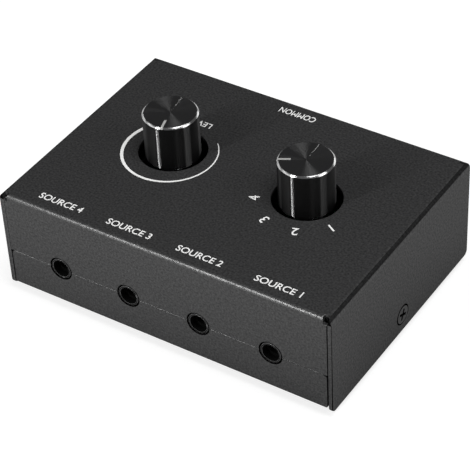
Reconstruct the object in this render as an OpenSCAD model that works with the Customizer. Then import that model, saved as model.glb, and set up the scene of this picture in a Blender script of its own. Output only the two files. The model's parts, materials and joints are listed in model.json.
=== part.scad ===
// Audio source selector: a folded steel case with four sockets in front and one behind,
// a level control and a four-way rotary switch on a circuit board.
// Millimetres. The front faces -Y, Z is up and the feet stand on Z = 0 under the case's centre.

/* [Case] */
// Width of the case from side to side
case_w = 100; // [94:1:130]
// Depth of the case from front to rear
case_d = 71; // [66:1:100]
// Height of the case without its feet
case_h = 30.8; // [28:0.1:40]
// Thickness of the folded sheet
sheet = 1.2; // [1:0.1:1.5]
// Outer radius of the bends between the top and the two sides
side_bend = 1.8; // [1.6:0.1:3]
// Outer radius of the sharper bends along the front and the rear of the top
edge_bend = 1; // [0.5:0.1:1.5]
// Radius of the lower corners of the cover's sides
side_corner = 1.5; // [0.5:0.1:3]
// Gap between the end of a cover flange and the side beside it
flange_gap = 0.2; // [0.1:0.05:0.5]
// Gap where the cover's flanges meet the tray's flanges
seam_gap = 0.1; // [0.05:0.05:0.5]
// Radius of the relief holes at the upper corners of the cover
relief_r = 0.95; // [0.6:0.05:1.2]
// Distance of the relief holes' centres behind the front and rear faces
relief_in = 0.7; // [0.4:0.05:1]
// Distance of the relief holes' centres inside the sides
relief_side = 1.65; // [1.3:0.05:2]

/* [Tray] */
// Gap between the tray and the inside of the cover's sides
tray_gap = 0.4; // [0.2:0.05:0.6]
// Height of the tray's underside above the lower edges of the cover's sides
tray_lift = 0.4; // [0:0.1:1.2]
// Outer radius of the tray's bends
tray_bend = 1.4; // [1:0.1:2.5]
// Radius of the corners of the tray's flanges
tray_corner = 1.3; // [0.3:0.1:2]
// Width of the ears that take the case screws
ear_w = 14; // [10:1:24]
// Height of the ears above the tray's underside
ear_h = 9; // [8.5:0.5:11]
// Width of the relief cut beside each ear
ear_relief = 1; // [0.6:0.1:2]
// Wall of the threaded collar inside an ear
collar_wall = 1; // [0.8:0.1:1.5]
// Reach of the threaded collar behind the ear
collar_len = 1.2; // [0.8:0.1:1.5]

/* [Fasteners] */
// Outer diameter of the screw threads
screw_d = 3; // [2.5:0.1:3.5]
// Clearance round a screw in its thread
thread_gap = 0.05; // [0.02:0.01:0.1]
// Clearance round a screw in a plain hole
hole_gap = 0.15; // [0.1:0.05:0.4]
// Head diameter of the countersunk case screws
case_screw_head = 5.2; // [5:0.1:6]
// Gap between a case screw's head and its countersink
sink_gap = 0.45; // [0.15:0.05:0.6]
// Turn of the case screws' recesses as tightened
case_screw_turn = 23; // [0:1:89]
// Length of the case screws
case_screw_len = 7; // [5:0.5:8]
// Height of the case screws above the lower edges of the cover's sides
case_screw_z = 5.3; // [5:0.1:6]
// Head diameter of the board screws
board_screw_head = 5.5; // [5:0.1:6.5]
// Height of the board screws' heads
board_screw_head_h = 1.9; // [1.2:0.1:2.5]
// Length of the board screws
board_screw_len = 6; // [4.5:0.5:6]
// Length across a cross recess
recess_len = 3.4; // [2.5:0.1:4]
// Width of the arms of a cross recess
recess_w = 0.8; // [0.5:0.1:1]
// Depth of a cross recess
recess_depth = 1; // [0.6:0.1:1.2]

/* [Feet] */
// Diameter of a rubber foot at its top
foot_d = 8; // [6:0.5:10]
// Diameter of the flat on which a foot stands
foot_flat = 6.4; // [5:0.2:6.4]
// Height of a rubber foot
foot_h = 2.4; // [1.5:0.1:4]
// Distance of a foot's centre from the outside of the case
foot_inset = 6.5; // [6.5:0.5:7]

/* [Board] */
// Thickness of the circuit board
board_t = 1.6; // [1:0.1:2]
// Distance of the board's sides from the outside of the case
board_side = 8; // [8:0.5:9]
// Distance of the board's front and rear edges from the outside of the case
board_end = 2; // [1.8:0.1:3]
// Radius of the board's corners
board_corner = 1.5; // [0.5:0.1:3]
// Distance of the mounting holes from the board's sides
board_hole_side = 4; // [3.6:0.1:5]
// Distance of the front mounting holes from the outside of the front wall
board_hole_front = 22; // [20:0.5:24]
// Distance of the rear mounting holes from the outside of the rear wall
board_hole_rear = 11; // [10.5:0.5:13]
// Diameter of the board's standoffs
standoff_d = 5.5; // [5:0.1:6.5]
// Diameter of the riveted spigot under a standoff
rivet_d = 4.2; // [4:0.1:4.8]
// Clearance round a part that is pressed or set into a hole
set_gap = 0.05; // [0.02:0.01:0.1]
// Length of a soldered pin below the board
pin_out = 1.2; // [0.5:0.1:1.5]
// Clearance round a soldered pin in the board
pin_gap = 0.15; // [0.1:0.05:0.25]

/* [Sockets] */
// Distance of the outer sockets in the front wall from the sides of the case
jack_side = 17.75; // [17:0.25:20]
// Height of the sockets' centres above the lower edges of the cover's sides
jack_z = 12.2; // [11.5:0.1:13]
// Height of a socket's centre above the board
jack_axis_h = 4.4; // [4.2:0.1:5]
// Diameter of the hole in the wall round a socket
jack_hole = 6.8; // [6.6:0.1:8]
// Diameter of a socket's nose
jack_nose = 6; // [5.4:0.1:6.2]
// Length of a socket's nose
jack_nose_len = 3; // [2.5:0.1:4]
// Depth of the nose's end face behind the wall's outer face
jack_set = 0.1; // [0:0.05:0.5]
// Diameter of a socket's bore
jack_bore = 3.6; // [3.55:0.05:3.8]
// Diameter of the wider mouth of the bore
jack_mouth = 5; // [4.2:0.1:5]
// Depth of the mouth behind the nose's end face
jack_mouth_len = 2; // [1:0.1:2.4]
// Depth of the bore behind the wall's outer face
jack_bore_len = 14.4; // [14:0.1:15]
// Overall depth of a socket behind the wall's outer face
jack_depth = 15.2; // [15.1:0.1:17]
// Width of a socket's body
jack_w = 9; // [8.6:0.1:11]
// Height of a socket's body above the centre of its bore
jack_top = 4; // [3.6:0.1:5]
// Chamfer along the upper edges of a socket's body
jack_chamfer = 1; // [0.3:0.1:1.5]
// Thickness of the contact springs
spring_t = 0.3; // [0.2:0.05:0.4]
// Thickness of the moulded wall between a bore and its contact springs
jack_wall = 0.6; // [0.5:0.05:0.8]

/* [Controls] */
// Distance of the control axes from the sides of the case
control_side = 29.3; // [28:0.05:32]
// Position of the control axes behind the case's centre
control_y = 2; // [-1:0.1:4]
// Diameter of the control shafts
shaft_d = 6; // [5.5:0.1:6.5]
// Radial clearance of a shaft in its bushing
running_gap = 0.05; // [0.02:0.01:0.1]
// Outer diameter of the bushings
bushing_d = 8; // [7.5:0.1:9]
// Height of the bushings above their plates
bushing_h = 6.5; // [4:0.1:9]
// Depth of the flat on the upper end of a shaft
shaft_flat = 1.5; // [0.8:0.1:2]
// Depth of the clip's groove in a shaft
groove_depth = 0.5; // [0.3:0.05:0.7]
// Thickness of the clips that hold the shafts
clip_t = 0.6; // [0.4:0.05:0.8]
// Outer diameter of the clips
clip_d = 9; // [8:0.1:10]
// Width of the clips' mouths
clip_open = 4; // [3:0.1:4.5]
// Gap between flat faces that turn past each other
turn_gap = 0.1; // [0.05:0.01:0.2]
// Thickness of the plates that close the controls
plate_t = 0.8; // [0.6:0.1:1]
// Width of the claws that hold a plate on its body
claw_w = 3; // [2:0.1:4]
// Reach of the claws down the side of the body
claw_h = 4; // [2:0.1:5]
// Gap between a claw and the body
claw_gap = 0.1; // [0.05:0.05:0.3]

/* [Volume control] */
// Direction of the volume pointer as stored, from +X
volume_angle = -74; // [-180:1:180]
// Turn of the volume control from the stored position to silence
volume_down = 124; // [90:1:140]
// Turn of the volume control from the stored position to full level
volume_up = 156; // [90:1:160]
// Diameter of the volume control's body
pot_d = 16.4; // [16:0.1:17]
// Height of the volume control's body
pot_h = 6.4; // [6:0.1:8]
// Thickness of its wall and floor
pot_wall = 1.3; // [1:0.1:1.6]
// Width of the block that carries its terminals
pot_block_w = 13; // [12.5:0.1:16]
// Reach of the block behind the body
pot_block_out = 3.6; // [3:0.1:4]
// Distance between its terminals
pot_pin_pitch = 5; // [4:0.1:5.5]
// Distance between its two rows of terminals
pot_row_pitch = 2; // [1.8:0.1:2.2]
// Width of a terminal
pot_pin_w = 1; // [0.8:0.1:1.2]
// Thickness of its rotor
pot_rotor_h = 1.8; // [1.4:0.1:2]
// Gap between the shaft and the resistive track
track_in = 0.8; // [0.6:0.1:1]
// Gap between the resistive track and the body's wall
track_out = 0.7; // [0.5:0.1:1]
// Thickness of the resistive track
track_t = 0.3; // [0.2:0.05:0.5]

/* [Selector switch] */
// Direction of the selector pointer as stored, from +X
selector_angle = -151.5; // [-180:0.5:180]
// Turn between neighbouring positions of the selector
selector_step = 40; // [30:5:45]
// Number of positions
selector_ways = 4; // [2:1:4]
// Diameter of the switch's body
switch_d = 18; // [17.6:0.1:19]
// Height of the switch's body
switch_h = 6.8; // [6.6:0.1:8]
// Thickness of its wall and floor
switch_wall = 1.4; // [1.2:0.1:1.6]
// Thickness of its rotor
switch_rotor_h = 3.6; // [3.4:0.1:3.8]
// Radius of the detent balls
ball_r = 0.8; // [0.6:0.05:0.9]
// Depth of the detent notches
notch_depth = 0.25; // [0.15:0.05:0.35]
// Radius of the detent notches
notch_r = 1; // [0.9:0.05:1.2]
// Radius of the circle of switched contacts
contact_ring = 6.1; // [5.9:0.05:6.2]
// Radius of one switched contact
contact_r = 0.7; // [0.5:0.05:0.8]
// Middle radius of the common contacts
common_ring = 4.4; // [4.3:0.05:4.5]
// Width of the common contacts
common_w = 0.9; // [0.6:0.05:1]
// Thickness of the fixed contacts
contact_t = 0.25; // [0.2:0.05:0.4]
// Diameter of a soldered switch pin
switch_pin_d = 0.8; // [0.6:0.05:0.9]
// Wire diameter of the detent springs
coil_wire = 0.2; // [0.15:0.01:0.22]
// Number of turns of a detent spring
coil_turns = 4; // [3:1:5]

/* [Knobs] */
// Diameter of the knobs
knob_d = 15; // [14:0.1:18]
// Gap between a knob and the hole in the cover
knob_gap = 1.8; // [1:0.1:2.5]
// Height of a knob above the cover
knob_rise = 12.4; // [10:0.1:18]
// Depth of a knob's lower end below the cover's upper face
knob_sink = 1.4; // [0:0.1:1.6]
// Bright chamfer round the top of a knob
knob_edge = 0.5; // [0.2:0.05:0.8]
// Chamfer round the lower end of a knob
knob_foot = 0.4; // [0.2:0.05:0.8]
// Thickness of a knob's roof
knob_roof = 2.2; // [1.5:0.1:3]
// Diameter of the moulded insert in a knob
insert_d = 11; // [10:0.1:12]
// Depth of the insert above the lower end of the knob
insert_set = 0.6; // [0.2:0.1:1.5]
// Gap between the end of a shaft and the roof of its knob
shaft_end_gap = 0.5; // [0.2:0.1:1]
// Width of a pointer line
pointer_w = 0.65; // [0.5:0.05:1.2]
// Length of a pointer line
pointer_len = 3.6; // [2:0.1:5]
// Depth of a pointer line
pointer_depth = 0.4; // [0.2:0.05:0.8]

/* [Hidden] */
$fn = 64;

// How far a cut runs past the face that it opens
over = 1;

// Smallest radius inside a bend
bend_min = 0.1;

// Heights, from the floor up
cover_z = foot_h - tray_lift;
cover_top = cover_z + case_h;
tray_z = foot_h;
tray_top = tray_z + sheet;
seam_z = cover_z + jack_z;
tray_h = seam_z - seam_gap / 2 - tray_z;
board_top = seam_z - jack_axis_h;
board_z = board_top - board_t;
knob_z = cover_top - knob_sink;
knob_h = knob_rise + knob_sink;
shaft_top = knob_z + knob_h - knob_roof - shaft_end_gap;

// Widths and places that follow from the case
tray_w = case_w - 2 * sheet - 2 * tray_gap;
board_w = case_w - 2 * board_side;
board_d = case_d - 2 * board_end;
board_holes = [
    for (s = [-1, 1]) [s * (board_w / 2 - board_hole_side), board_hole_front - case_d / 2],
    for (s = [-1, 1]) [s * (board_w / 2 - board_hole_side), case_d / 2 - board_hole_rear]
];
COMMON = 5;
FRONT_JACKS = [1, 2, 3, 4];
front_mid = (1 + len(FRONT_JACKS)) / 2;
jack_pitch = (case_w - 2 * jack_side) / (len(FRONT_JACKS) - 1);
VOLUME = -1;
SELECTOR = 1;

// Radii of the fits
screw_r = screw_d / 2;
shaft_r = shaft_d / 2;
bushing_r = shaft_r + running_gap;
knob_hole_r = knob_d / 2 + knob_gap;
bore_r = jack_bore / 2;

// Contact springs of a socket, as distances behind the wall's outer face
tip_y = 12.4;
ring_y = 9;
sleeve_y = 5.4;
spring_x = bore_r + jack_wall + spring_t;
spring_bump = 0.45;
bump_ahead = 1.2;
spring_w = 1.2;
spring_len = 2.6;
spring_back = 0.6;
leg_w = 0.8;
slot_gap = 0.2;

// Volume control, measured from the board
pot_in_r = pot_d / 2 - pot_wall;
track_w = pot_in_r - track_out - shaft_r - track_in;
track_r = shaft_r + track_in + track_w / 2;
pot_rotor_z = pot_h - turn_gap - pot_rotor_h;
pot_pin_z = 0.8;
pot_row_in = 0.6;
pot_rows = [for (i = [0, 1]) pot_d / 2 + pot_block_out - pot_row_in - i * pot_row_pitch];
rotor_gap = 0.4;
stop_r = 4.6;
stop_w = 1.2;
stop_depth = 0.7;
stop_gap = 0.2;
wiper_gap = 0.05;
track_spare = 10;

// Selector switch, measured from the board
switch_in_r = switch_d / 2 - switch_wall;
switch_rotor_z = switch_h - turn_gap - switch_rotor_h;
ball_z = switch_rotor_z + switch_rotor_h / 2;
ball_ring = switch_in_r - running_gap - ball_r;
pocket_r = ball_r + set_gap;
pocket_wall = 0.9;
pocket_in = shaft_r + pocket_wall;
selector_turn = selector_step * (selector_ways - 1);
contact_angles = [
    for (side = [0, 180], way = [0 : selector_ways - 1]) selector_angle + side + way * selector_step
];
common_angles = [selector_angle + selector_turn / 2, selector_angle + selector_turn / 2 + 180];
common_sweep = 160;

// Places

module at_jack(k) {
    if (k == COMMON)
        translate([0, case_d / 2, seam_z]) rotate(180) children();
    else
        translate([(front_mid - k) * jack_pitch, -case_d / 2, seam_z]) children();
}

module at_control(side) {
    translate([side * (case_w / 2 - control_side), control_y, 0]) children();
}

module on_board(side) {
    at_control(side) translate([0, 0, board_top]) children();
}

module at_case_screws() {
    for (s = [-1, 1])
        translate([s * case_w / 2, 0, cover_z + case_screw_z]) rotate([0, -90 * s, 0]) children();
}

// Shared shapes

// Outline with a flat foot and rounded upper corners
module arch(w, h, r) {
    translate([-w / 2, 0]) square([w, h - r]);
    translate([r - w / 2, 0]) square([w - 2 * r, h]);
    for (s = [-1, 1])
        translate([s * (w / 2 - r), h - r]) circle(r);
}

// Outline with a flat top and rounded lower corners
module cradle(w, h, r) {
    translate([0, h]) mirror([0, 1]) arch(w, h, r);
}

// Outline with rounded upper and lower corners of two radii
module plaque(w, h, r_top, r_foot) {
    intersection() {
        arch(w, h, r_top);
        cradle(w, h, r_foot);
    }
}

// An outline in X and Z, drawn out along Y
module along_y(length) {
    rotate([90, 0, 0]) linear_extrude(length, center = true) children();
}

// An outline in Y and Z, drawn out along X
module along_x(length) {
    rotate([90, 0, 90]) linear_extrude(length, center = true) children();
}

module ring(r_out, r_in, h) {
    difference() {
        cylinder(r = r_out, h = h);
        translate([0, 0, -over]) cylinder(r = r_in, h = h + 2 * over);
    }
}

// A ring's stretch from one angle over a sweep
module ring_sector(r_mid, w, h, start, sweep) {
    rotate(start) rotate_extrude(angle = sweep) translate([r_mid - w / 2, 0]) square([w, h]);
}

module cross_recess() {
    for (a = [0, 90])
        rotate(a) translate([-recess_len / 2, -recess_w / 2, -over])
            cube([recess_len, recess_w, recess_depth + over]);
}

// Inner radius of a bend, from its outer radius
function inner_bend(r) = max(r - sheet, bend_min);

// A wall hole of one socket, across both halves of the wall
module jack_wall_hole() {
    translate([0, -over, 0]) rotate([-90, 0, 0]) cylinder(d = jack_hole, h = sheet + tray_bend + 2 * over);
}

// Case

module cover_outside() {
    intersection() {
        along_y(case_d) arch(case_w, case_h, side_bend);
        along_x(case_w) plaque(case_d, case_h, edge_bend, side_corner);
    }
}

module cover_inside() {
    translate([0, 0, -over]) intersection() {
        along_y(case_d) arch(case_w - 2 * sheet, case_h - sheet + over, inner_bend(side_bend));
        along_x(case_w) arch(case_d - 2 * sheet, case_h - sheet + over, inner_bend(edge_bend));
    }
}

// Openings below the front and rear flanges, and the slits at the flanges' ends
module flange_cuts() {
    inner_w = case_w - 2 * sheet;
    translate([-inner_w / 2, -case_d / 2 - over, -over])
        cube([inner_w, case_d + 2 * over, jack_z + seam_gap / 2 + over]);
    for (s = [-1, 1])
        translate([s * (inner_w - flange_gap) / 2 - flange_gap / 2, -case_d / 2 - over, 0])
            cube([flange_gap, case_d + 2 * over, case_h - side_bend]);
}

module corner_reliefs() {
    for (sx = [-1, 1], sy = [-1, 1])
        translate([sx * (case_w / 2 - relief_side), sy * (case_d / 2 - relief_in), case_h - sheet - relief_r])
            cylinder(r = relief_r, h = sheet + relief_r + over);
}

module case_screw_hole(gap) {
    sink = case_screw_head / 2 + sink_gap;
    translate([0, 0, -over]) cylinder(r = sink, h = over);
    cylinder(r1 = sink, r2 = screw_r + gap, h = sink - screw_r - gap);
    cylinder(r = screw_r + gap, h = case_screw_len + over);
}

module top_cover() {
    color("#2b2b2c") difference() {
        translate([0, 0, cover_z]) difference() {
            cover_outside();
            cover_inside();
            flange_cuts();
            corner_reliefs();
        }
        for (side = [VOLUME, SELECTOR])
            at_control(side) translate([0, 0, cover_top - sheet - over])
                cylinder(r = knob_hole_r, h = sheet + 2 * over);
        for (k = [each FRONT_JACKS, COMMON])
            at_jack(k) jack_wall_hole();
        at_case_screws() case_screw_hole(hole_gap);
    }
}

module tray_channel() {
    intersection() {
        along_x(tray_w) difference() {
            cradle(case_d, tray_h, tray_bend);
            translate([0, sheet]) cradle(case_d - 2 * sheet, tray_h, inner_bend(tray_bend));
        }
        along_y(case_d) plaque(tray_w, tray_h, tray_corner, tray_corner);
    }
}

// The two ears and the strip of base between them
module tray_ears() {
    along_y(ear_w) difference() {
        plaque(tray_w, ear_h, tray_corner, tray_bend);
        translate([0, sheet]) cradle(tray_w - 2 * sheet, ear_h, inner_bend(tray_bend));
    }
}

module ear_notches() {
    for (s = [-1, 1])
        translate([s * tray_w / 2, 0, sheet / 2])
            cube([2 * (tray_bend + sheet), ear_w + 2 * ear_relief, sheet + 2 * over], center = true);
}

module bottom_tray() {
    color("#2b2b2c") difference() {
        union() {
            translate([0, 0, tray_z]) difference() {
                tray_channel();
                ear_notches();
            }
            translate([0, 0, tray_z]) tray_ears();
            at_case_screws() translate([0, 0, sheet + tray_gap])
                cylinder(d = screw_d + 2 * collar_wall, h = sheet + collar_len);
        }
        for (k = [each FRONT_JACKS, COMMON])
            at_jack(k) jack_wall_hole();
        at_case_screws() case_screw_hole(thread_gap);
        for (p = board_holes)
            translate([p.x, p.y, tray_z - over]) cylinder(d = rivet_d + 2 * set_gap, h = sheet + 2 * over);
    }
}

module case_screws() {
    head = case_screw_head / 2;
    color("#1e1e1f") at_case_screws() difference() {
        union() {
            cylinder(r1 = head, r2 = screw_r, h = head - screw_r);
            cylinder(r = screw_r, h = case_screw_len);
        }
        rotate(case_screw_turn) cross_recess();
    }
}

module rubber_feet() {
    color("#161616")
        for (sx = [-1, 1], sy = [-1, 1])
            translate([sx * (case_w / 2 - foot_inset), sy * (case_d / 2 - foot_inset), 0])
                cylinder(d1 = foot_flat, d2 = foot_d, h = foot_h);
}

// Board

module jack_pins() {
    translate([spring_x - spring_t / 2, tip_y]) children();
    translate([spring_t / 2 - spring_x, ring_y]) children();
    translate([0, sleeve_y]) children();
}

module pot_pins() {
    for (row = pot_rows, i = [-1, 0, 1])
        translate([i * pot_pin_pitch, row]) children();
}

module switch_pins() {
    for (a = contact_angles)
        rotate(a) translate([contact_ring, 0]) children();
    for (a = common_angles)
        rotate(a) translate([common_ring, 0]) children();
}

module pin_hole(d) {
    translate([0, 0, -board_t - over]) cylinder(d = d + 2 * pin_gap, h = board_t + 2 * over);
}

module circuit_board() {
    leg_span = norm([leg_w, spring_t]);
    pin_span = norm([pot_pin_w, spring_t]);
    color("#1d5b37") difference() {
        translate([0, -board_d / 2, board_z]) linear_extrude(board_t)
            plaque(board_w, board_d, board_corner, board_corner);
        for (p = board_holes)
            translate([p.x, p.y, board_top]) pin_hole(screw_d);
        for (k = [each FRONT_JACKS, COMMON])
            at_jack(k) translate([0, 0, -jack_axis_h]) jack_pins() pin_hole(leg_span);
        on_board(VOLUME) pot_pins() pin_hole(pin_span);
        on_board(SELECTOR) switch_pins() pin_hole(switch_pin_d);
    }
}

module board_standoffs() {
    color("#b9bcc0")
        for (p = board_holes)
            translate([p.x, p.y, 0]) difference() {
                union() {
                    translate([0, 0, tray_z]) cylinder(d = rivet_d, h = sheet);
                    translate([0, 0, tray_top]) cylinder(d = standoff_d, h = board_z - tray_top);
                }
                translate([0, 0, tray_z - over]) cylinder(r = screw_r + thread_gap, h = board_z + 2 * over);
            }
}

module board_screws() {
    color("#c3c6ca")
        for (p = board_holes)
            translate([p.x, p.y, board_top]) difference() {
                union() {
                    translate([0, 0, -board_screw_len]) cylinder(r = screw_r, h = board_screw_len);
                    cylinder(d = board_screw_head, h = board_screw_head_h);
                }
                translate([0, 0, board_screw_head_h]) mirror([0, 0, 1]) cross_recess();
            }
}

// Sockets: Y runs inwards from the wall's outer face, Z = 0 is the bore's axis

module jack_body_outline() {
    translate([0, -jack_axis_h]) difference() {
        translate([-jack_w / 2, 0]) square([jack_w, jack_axis_h + jack_top]);
        for (s = [-1, 1])
            translate([s * jack_w / 2, jack_axis_h + jack_top]) rotate(45)
                square(jack_chamfer * sqrt(2), center = true);
    }
}

// Pocket for one side spring, its leg and the window through which the spring reaches the bore
module side_slot(y) {
    inner = bore_r + jack_wall;
    translate([inner, y + spring_back - spring_len - slot_gap, -jack_axis_h - over])
        cube([jack_w, spring_len + 2 * slot_gap, jack_axis_h + over + spring_w / 2 + slot_gap]);
    translate([0, y - bump_ahead - spring_w / 2, -spring_w / 2]) cube([inner + over, spring_w, spring_w]);
}

module sleeve_slot() {
    translate([-spring_w / 2, sleeve_y - spring_w / 2, -jack_axis_h - over])
        cube([spring_w, spring_w, jack_axis_h + over]);
}

module jack_housing(k) {
    color("#202022") at_jack(k) difference() {
        union() {
            translate([0, jack_set, 0]) rotate([-90, 0, 0]) cylinder(d = jack_nose, h = jack_nose_len);
            translate([0, jack_depth, 0]) rotate([90, 0, 0])
                linear_extrude(jack_depth - jack_nose_len) jack_body_outline();
        }
        rotate([-90, 0, 0]) cylinder(d = jack_bore, h = jack_bore_len);
        rotate([-90, 0, 0]) cylinder(d = jack_mouth, h = jack_set + jack_mouth_len);
        side_slot(tip_y);
        mirror([1, 0, 0]) side_slot(ring_y);
        sleeve_slot();
    }
}

// A strip beside the bore with a rounded bump towards it and a leg through the board
module side_spring(y) {
    leg_h = jack_axis_h + board_t + pin_out;
    translate([spring_x - spring_t, y + spring_back - spring_len, -spring_w / 2])
        cube([spring_t, spring_len, spring_w]);
    translate([spring_x - spring_t, y - leg_w / 2, -leg_h]) cube([spring_t, leg_w, leg_h]);
    translate([bore_r + set_gap + spring_bump, y - bump_ahead, slot_gap - spring_w / 2])
        cylinder(r = spring_bump, h = spring_w - 2 * slot_gap);
}

module jack_contacts(k) {
    leg_h = jack_axis_h + board_t + pin_out;
    color("#c9a95c") at_jack(k) {
        side_spring(tip_y);
        mirror([1, 0, 0]) side_spring(ring_y);
        translate([-leg_w / 2, sleeve_y - spring_t / 2, -leg_h])
            cube([leg_w, spring_t, leg_h - bore_r - set_gap]);
    }
}

// Controls: shared plates, shafts and clips, measured from the board

// Plate with a bushing and four claws over a round body, and a stop lug under it
module control_plate(body_d, body_h, stop_angle) {
    span = body_d + 2 * (claw_gap + plate_t);
    difference() {
        union() {
            translate([-span / 2, -claw_w / 2, body_h]) cube([span, claw_w, plate_t]);
            translate([-claw_w / 2, -span / 2, body_h]) cube([claw_w, span, plate_t]);
            translate([0, 0, body_h]) cylinder(d = body_d, h = plate_t);
            translate([0, 0, body_h + plate_t]) cylinder(d = bushing_d, h = bushing_h);
            for (a = [0 : 90 : 270])
                rotate(a) translate([span / 2 - plate_t, -claw_w / 2, body_h - claw_h])
                    cube([plate_t, claw_w, claw_h]);
            rotate(stop_angle) translate([stop_r, 0, body_h - stop_depth])
                cylinder(d = stop_w, h = stop_depth);
        }
        cylinder(r = bushing_r, h = body_h + plate_t + bushing_h + over);
    }
}

// Groove in a rotor's upper face in which the plate's stop lug runs
module stop_groove(rotor_top, stop_angle, turn_minus, turn_plus) {
    spare = (stop_w / 2 + stop_gap) / stop_r * 180 / PI;
    groove = stop_depth + turn_gap;
    translate([0, 0, rotor_top + turn_gap - groove])
        ring_sector(stop_r, stop_w + 2 * stop_gap, groove + over, stop_angle - turn_plus - spare,
                    turn_plus + turn_minus + 2 * spare);
}

// Shaft from a foot on the body's floor to the knob, with a flat on the side away from the pointer
module control_shaft(floor_h, body_h, angle) {
    groove_z = board_top + body_h + plate_t + bushing_h + turn_gap;
    flat_z = knob_z + insert_set;
    difference() {
        translate([0, 0, board_top + floor_h + turn_gap])
            cylinder(r = shaft_r, h = shaft_top - board_top - floor_h - turn_gap);
        translate([0, 0, groove_z]) ring(shaft_r + over, shaft_r - groove_depth, clip_t + 2 * set_gap);
        rotate(angle) translate([-shaft_d - shaft_r + shaft_flat, -shaft_d, flat_z])
            cube([shaft_d, 2 * shaft_d, shaft_top - flat_z + over]);
    }
}

module control_clip(body_h, angle) {
    inner = shaft_r - groove_depth + set_gap;
    translate([0, 0, board_top + body_h + plate_t + bushing_h + turn_gap + set_gap]) difference() {
        ring(clip_d / 2, inner, clip_t);
        rotate(angle) translate([0, -clip_open / 2, -over]) cube([clip_d, clip_open, clip_t + 2 * over]);
    }
}

// Volume control

module pot_body() {
    color("#26282b") on_board(VOLUME) difference() {
        union() {
            cylinder(d = pot_d, h = pot_h);
            translate([-pot_block_w / 2, 0, pot_pin_z])
                cube([pot_block_w, pot_d / 2 + pot_block_out, pot_h - claw_h - claw_gap - pot_pin_z]);
        }
        translate([0, 0, pot_wall]) cylinder(r = pot_in_r, h = pot_h);
    }
}

module pot_plate() {
    color("#b4b7ba") on_board(VOLUME) control_plate(pot_d, pot_h, volume_angle);
}

module pot_track() {
    color("#15130f") on_board(VOLUME) translate([0, 0, pot_wall])
        ring_sector(track_r, track_w, track_t, volume_angle - volume_up - track_spare,
                    volume_up + volume_down + 2 * track_spare);
}

module pot_terminals() {
    length = pot_pin_z + board_t + pin_out;
    color("#c8c4b4") on_board(VOLUME) pot_pins()
        translate([-pot_pin_w / 2, -spring_t / 2, pot_pin_z - length]) cube([pot_pin_w, spring_t, length]);
}

module pot_rotor() {
    color("#d8d5c8") on_board(VOLUME) difference() {
        translate([0, 0, pot_rotor_z]) cylinder(r = pot_in_r - rotor_gap, h = pot_rotor_h);
        cylinder(r = shaft_r + set_gap, h = pot_h);
        stop_groove(pot_rotor_z + pot_rotor_h, volume_angle, volume_up, volume_down);
    }
}

// Leaf spring from the rotor's underside down to its contact points, drawn across its width
module leaf(points, w) {
    rotate([90, 0, 0]) linear_extrude(w, center = true)
        polygon([each points, for (i = [len(points) - 1 : -1 : 0]) points[i] + [0, spring_t]]);
}

module pot_wiper() {
    roof = pot_rotor_z - spring_t;
    foot = pot_wall + track_t + wiper_gap;
    color("#d2b15e") on_board(VOLUME) {
        difference() {
            translate([0, 0, roof]) cylinder(r = track_r + track_w / 2, h = spring_t);
            translate([0, 0, roof - over]) cylinder(r = shaft_r + set_gap, h = spring_t + 2 * over);
        }
        rotate(volume_angle)
            leaf([[shaft_r + spring_t, roof], [shaft_r + 2 * spring_t, roof], [track_r, foot],
                  [track_r + track_w / 2, foot + spring_t]], spring_w);
    }
}

module volume_shaft() {
    color("#c9ccd0") at_control(VOLUME) control_shaft(pot_wall, pot_h, volume_angle);
}

module volume_clip() {
    color("#8f9296") at_control(VOLUME) control_clip(pot_h, volume_angle);
}

// Selector switch

module switch_body() {
    color("#26282b") on_board(SELECTOR) difference() {
        cylinder(d = switch_d, h = switch_h);
        translate([0, 0, switch_wall]) cylinder(r = switch_in_r, h = switch_h);
        for (a = contact_angles)
            rotate(a) translate([switch_in_r - notch_r + notch_depth, 0, switch_wall])
                cylinder(r = notch_r, h = switch_h);
        switch_pins() translate([0, 0, -over])
            cylinder(d = switch_pin_d + 2 * set_gap, h = switch_wall + 2 * over);
    }
}

module switch_plate() {
    color("#b4b7ba") on_board(SELECTOR) control_plate(switch_d, switch_h, selector_angle);
}

module switch_contacts() {
    below = board_t + pin_out;
    color("#c9a95c") on_board(SELECTOR) {
        switch_pins() translate([0, 0, -below]) cylinder(d = switch_pin_d, h = below + switch_wall + contact_t / 2);
        for (a = contact_angles)
            rotate(a) translate([contact_ring, 0, switch_wall]) cylinder(r = contact_r, h = contact_t);
        for (a = common_angles)
            translate([0, 0, switch_wall])
                ring_sector(common_ring, common_w, contact_t, a - common_sweep / 2, common_sweep);
    }
}

module switch_rotor() {
    color("#e3e0d4") on_board(SELECTOR) difference() {
        translate([0, 0, switch_rotor_z]) cylinder(r = switch_in_r - rotor_gap, h = switch_rotor_h);
        cylinder(r = shaft_r + set_gap, h = switch_h);
        for (a = [0, 180])
            rotate(selector_angle + a) translate([pocket_in, 0, ball_z]) rotate([0, 90, 0])
                cylinder(r = pocket_r, h = switch_in_r);
        stop_groove(switch_rotor_z + switch_rotor_h, selector_angle, 0, selector_turn);
    }
}

// Wavy leaf under the rotor that joins a switched contact to its common contact, on both sides
module switch_bridge() {
    roof = switch_rotor_z - spring_t;
    foot = switch_wall + contact_t + wiper_gap;
    crest = (common_ring + contact_ring) / 2;
    color("#d2b15e") on_board(SELECTOR) {
        difference() {
            translate([0, 0, roof]) cylinder(r = common_ring, h = spring_t);
            translate([0, 0, roof - over]) cylinder(r = shaft_r + set_gap, h = spring_t + 2 * over);
        }
        for (a = [0, 180])
            rotate(selector_angle + a)
                leaf([[shaft_r + spring_t, roof], [shaft_r + 2 * spring_t, roof],
                      [common_ring, foot], [crest, foot + spring_t],
                      [contact_ring, foot], [contact_ring + contact_r, foot + spring_t]], spring_w);
    }
}

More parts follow.
